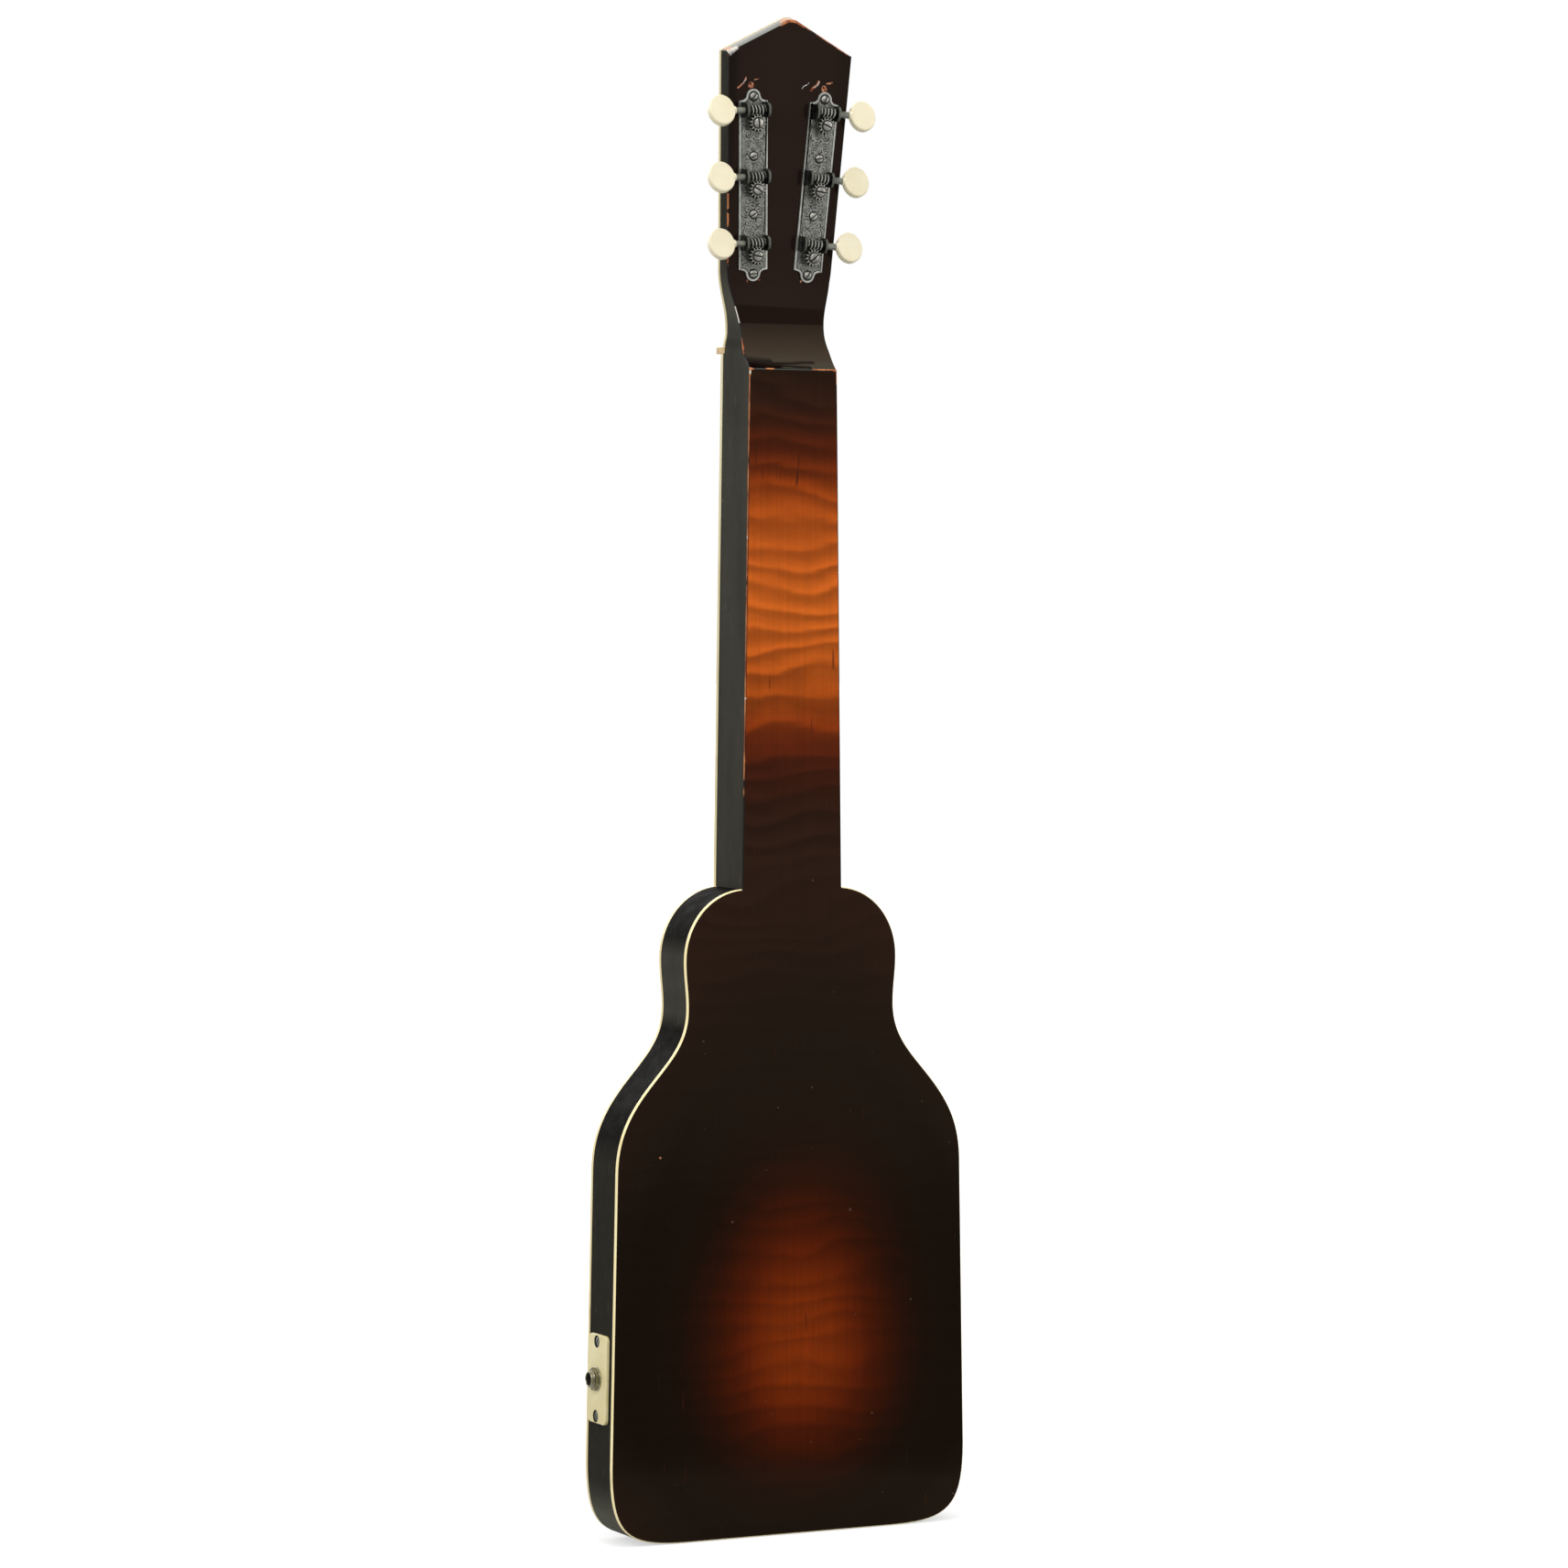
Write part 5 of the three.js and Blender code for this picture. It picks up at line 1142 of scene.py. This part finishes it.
JACK_SIDE = LOW_SIDE[0] - (JACK_RISE - LOW_SIDE[1]) * math.tan(SIDE_TAPER)
JACK = moved(JACK_SIDE, -0.7, JACK_RISE) @ Matrix.Rotation(-SIDE_TAPER, 4, "Y")
OUTWARDS = JACK @ turned(-90, "Z")
# The jack plate's two screws sit this far above and below the jack.
PLATE_SCREW = 19.7


def make_jack_plate():
    points = []
    for x, z, first in ((7.0, 20.2, 0), (-8.8, 20.2, 90), (-8.8, -20.2, 180), (7.0, -20.2, 270)):
        points += arc(x, z, 3.2, first, first + 90, 8)
    plate = slab(points, AIR, 1.8)
    rounded(plate, [e for e in sharp_edges(plate) if all(v.co.y > 1.7 for v in e.verts)], 0.45, 3)
    for z in (-PLATE_SCREW, PLATE_SCREW):
        sink = lathe([(0, -3), (1.6, -3), (1.6, 0.9), (3.3, 0.9), (3.3, 3), (0, 3)])
        plate = combined(plate, placed(sink, moved(0, 0, z)), "DIFFERENCE")

    # The countersinks' walls are black as painted shade.
    def in_hole(face):
        centre = face.calc_center_median()
        return int(centre.y < 1.75 and math.hypot(centre.x, abs(centre.z) - PLATE_SCREW) < 3.35)

    paint(plate.faces, in_hole)
    placed(plate, OUTWARDS)
    finish("jack_plate_cream", plate, [CREAM_PLATE, SHADE_AND_GRIME], "jack_plate", smooth=40)
    for name, z, slot in (("upper", PLATE_SCREW, 0.9), ("lower", -PLATE_SCREW, 2.2)):
        turn = Matrix.Rotation(slot, 4, "Y")
        screw = placed(slotted(2.5, 0.92, 0.8, 0.6, 0.5), OUTWARDS @ moved(0, 0, z) @ turn)
        finish(f"plate_screw_{name}", screw, [GREY_AND_LIT_STEEL, SHADE_AND_GRIME], f"jack_plate_screw_{name}")


def make_jack():
    make_jack_plate()
    thread = [(4.3 - 0.2 * (k % 2), 4.3 + 0.32 * k) for k in range(5)]
    barrel = lathe([
        (6.8, -21), (6.8, 0), (4.3, 0), *thread, (4.3, 5.9), (4.0, 6.4),
        (3.6, 6.5), (3.35, 6.2), (3.35, -18), (0.01, -18), (0.01, -21), (6.8, -21),
    ], 40)
    # The bore's inside is black as painted shade.
    paint(barrel.faces, lambda face: int(face.calc_center_median().xz.length < 3.34))
    finish("jack_barrel", placed(barrel, OUTWARDS), [JACK_NICKEL, SHADE_AND_GRIME], "jack", smooth=30)
    nut = bmesh.new()
    bmesh.ops.create_cone(nut, cap_ends=True, segments=6, radius1=6.1, radius2=6.1, depth=1.8)
    placed(nut, moved(0, 3.5, 0) @ turned(90, "X"))
    bore = lathe([(0, -1), (4.45, -1), (4.45, 8), (0, 8)], 40)
    chamfer = lathe([(5.4, 4.8), (6.6, 3.9), (6.6, 4.8), (5.4, 4.8)], 40)
    nut = combined(combined(nut, bore, "DIFFERENCE"), chamfer, "DIFFERENCE")
    paint(nut.faces, 0)
    washer = lathe([(4.45, 1.82), (6.5, 1.82), (6.5, 2.2), (6.1, 2.58), (4.45, 2.58), (4.45, 1.82)], 48)
    whole = placed(together([nut, washer]), OUTWARDS)
    finish("jack_hex_nut", whole, JACK_NICKEL, "jack_nut", smooth=25)


# Strings

def post_place(sign, number):
    along = POSTS[number]
    return Vector((sign * (POST_ACROSS + along * math.sin(LEAN)), 0, POST_ALONG + along * math.cos(LEAN)))


def string_route(index):
    """The same way as in the CAD: ball end, saddle, nut, post, and the turns round it."""
    diameter, turns = WIRES[index]
    sign = 1 if index < 3 else -1
    number = min(index, 5 - index)
    outside = number == 0
    route = []
    for rise in (SADDLE_RISE - 22.6, NUT_RISE, NUT_RISE + NUT_THICK / 2):
        spacing = SADDLE_SPACING + (NUT_SPACING - SADDLE_SPACING) * (rise - SADDLE_RISE) / SCALE
        route.append(Vector(((2.5 - index) * spacing, NUT_TOP + 0.2, rise)))
    origin = HEAD.inverted() @ route[-1]
    wrap = POST_RADIUS + 0.3 + diameter / 2
    centre = post_place(sign, number)
    climb = (-1 if outside else 1) * (diameter + 0.46)
    begin = HEAD_FACE - 6.2 + climb * turns
    if number == 1:
        # The middle string on each side bends round the first post on its way.
        first = post_place(sign, 0)
        share = (first.z - origin.z) / (centre.z - origin.z)
        origin = Vector((first.x - sign * wrap, origin.y + (begin - origin.y) * share, first.z))
        route.append(HEAD @ origin)
    away = (origin - centre).xz
    spin = sign if outside else -sign
    tangent = math.atan2(away.y, away.x) + spin * math.acos(wrap / away.length)
    steps = 28
    for i in range(round(turns * steps) + 1):
        turn = tangent + spin * 2 * math.pi * i / steps
        y = begin - climb * i / steps
        route.append(HEAD @ Vector((centre.x + wrap * math.cos(turn), y, centre.z + wrap * math.sin(turn))))
    return route


def make_strings():
    end = [(0.5, -1.7), (1.6, -1.7), (2, -1.3), (1.7, -0.7)]
    for index, (diameter, _) in enumerate(WIRES):
        route = string_route(index)
        data = bpy.data.curves.new("route", "CURVE")
        data.dimensions = "3D"
        line = data.splines.new("POLY")
        line.points.add(len(route) - 1)
        for point, place in zip(line.points, route):
            point.co = (*place, 1)
        data.bevel_depth = diameter / 2
        data.bevel_resolution = 3
        data.use_fill_caps = True
        curve = bpy.data.objects.new("route", data)
        wire = bmesh.new()
        wire.from_mesh(curve.to_mesh())
        curve.to_mesh_clear()
        bpy.data.objects.remove(curve)
        ball = lathe(end + [(r, -y) for r, y in end[::-1]] + end[:1], 24)
        placed(ball, Matrix.Translation(route[0]) @ turned(90, "Z"))
        material, slot = (STEEL_WIRE, "plain_steel") if index < 3 else (WOUND_WIRE, "wound_nickel")
        name = f"string_{index + 1}"
        finish(f"{name}_wire", together([outward(wire), ball]), material, name, smooth=60)


# Bridge, pickup and controls

def make_front_fittings():
    refined("bridge", NICKEL, 0.35)
    screws = [
        placed(slotted(3.3, 19.3, 1.4, 0.9, 0.7), moved(x, 0, z) @ turned(180, "Z"))
        for x in (-30, 30) for z in (33.1, 61.1)
    ]
    finish("bridge_screws", together(screws), [BRIGHT_SCREW, SHADE_AND_GRIME])
    refined("pickup_cover", BLACK_PLASTIC, 0.5)
    refined("pickup_blade", STEEL_WIRE, 0.3)
    kept = {"pickup_coil": WIRE_COIL, "pickup_magnet": MAGNET, "volume_pot": POT_CASE, "tone_pot": POT_CASE}
    for node, material in kept.items():
        for slot in NODES[node].material_slots:
            slot.link = "OBJECT"
            slot.material = material
    for name, rise in KNOBS:
        make_knob(name, rise)


def make_knob(name, rise):
    """A fluted knob with an inlaid ivory pointer."""
    low, top = 17.8, 30.3
    bm = lathe([
        (3.3, low), (10.5, low), (10.5, low + 2.2), (10.1, low + 2.9), (9.3, low + 3.2), (9.1, low + 4.2),
        (8.9, top - 3), (8.6, top - 1.0), (8.2, top - 0.4), (7.4, top), (3.0, top - 0.25), (0.01, top - 0.3),
        (0.01, low + 7), (3.3, low + 7), (3.3, low),
    ], 96)
    for vert in bm.verts:
        if vert.co.xz.length > 8.3 and low + 3.4 < vert.co.y < top - 0.6:
            share = 1 - 0.035 * (1 - abs(math.cos(12 * math.atan2(vert.co.z, vert.co.x))))
            vert.co.xz = vert.co.xz * share
    bm.normal_update()
    whole = together([bm, block((-0.35, top - 0.5, 3.5), (0.35, top - 0.02, 7.6), 0.1)])

    def on_pointer(face):
        return int(all(abs(v.co.x) < 0.4 and v.co.z > 3.4 and v.co.y > top - 0.6 for v in face.verts))

    paint(whole.faces, on_pointer)
    placed(whole, moved(KNOB_ACROSS, 0, rise) @ turned(180, "Z"))
    knob = f"{name}_knob"
    finish(f"{knob}_fluted", whole, [BLACK_PLASTIC, IVORY], knob, knob, 30)


make_wood()
make_body_bindings()
make_fingerboard()
make_nut()
make_head_front()
make_tuners()
make_jack()
make_strings()
make_front_fittings()


# Studio

def pale_floor():
    """White paper. It shows white far away, keeps a soft shadow near, and is dim in reflections further off."""
    material = bpy.data.materials.new("pale_paper_floor")
    material.use_nodes = True
    tree = material.node_tree
    tree.nodes.remove(tree.nodes["Principled BSDF"])
    away = vector("LENGTH", add("ShaderNodeTexCoord", output="Object", tree=tree), output="Value")
    near = mapped(away, 0.25, 0.9, 0.6, 1.0)
    gloss = ramp(away / 4, (0.054, 0.5), (0.064, 0.01), (0.4, 0.01), (0.52, 0.75))
    rays = add("ShaderNodeLightPath", tree=tree).node
    glow = Value(rays, "Is Camera Ray") * near + Value(rays, "Is Glossy Ray") * gloss
    matt = add("ShaderNodeBsdfDiffuse", tree=tree, Color=(0.5, 0.5, 0.5, 1))
    both = add("ShaderNodeAddShader", in0=matt, in1=add("ShaderNodeEmission", Strength=glow))
    feed(tree.nodes["Material Output"], Surface=both)
    return material


def make_studio():
    scene = bpy.context.scene
    scene.view_settings.view_transform = "Standard"
    world = scene.world = bpy.data.worlds.new("studio")
    world.use_nodes = True
    rays = add("ShaderNodeLightPath", tree=world.node_tree).node
    seen = most([Value(rays, f"Is {kind} Ray") for kind in ("Camera", "Glossy", "Transmission")])
    strength = calc("MULTIPLY_ADD", seen, 0.42, 0.58)
    feed(world.node_tree.nodes["Background"], Color=(1, 1, 1, 1), Strength=strength)
    floor = bmesh.new()
    bmesh.ops.create_grid(floor, x_segments=1, y_segments=1, size=20)
    mesh = bpy.data.meshes.new("floor")
    floor.to_mesh(mesh)
    floor.free()
    mesh.materials.append(pale_floor())
    plane = bpy.data.objects.new("floor", mesh)
    plane.location.z = -0.0002
    scene.collection.objects.link(plane)
    for name, place, size, power in (
        ("key", (2.3, 1.1, 2.0), 1.6, 30),
        ("fill", (-2.9, 0.8, 1.5), 1.6, 22),
        ("front_fill", (0.4, -2.8, 1.6), 2.0, 26),
        ("top", (0.3, 0.1, 3.0), 1.6, 22),
        ("back_top", (0.5, 2.6, 2.7), 1.8, 22),
    ):
        data = bpy.data.lights.new(name, "AREA")
        data.shape = "SQUARE"
        data.size = size
        data.energy = power
        lamp = bpy.data.objects.new(name, data)
        lamp.location = place
        aim = Vector((0, 0, 0.4)) - Vector(place)
        lamp.rotation_euler = aim.to_track_quat("-Z", "Y").to_euler()
        scene.collection.objects.link(lamp)


make_studio()
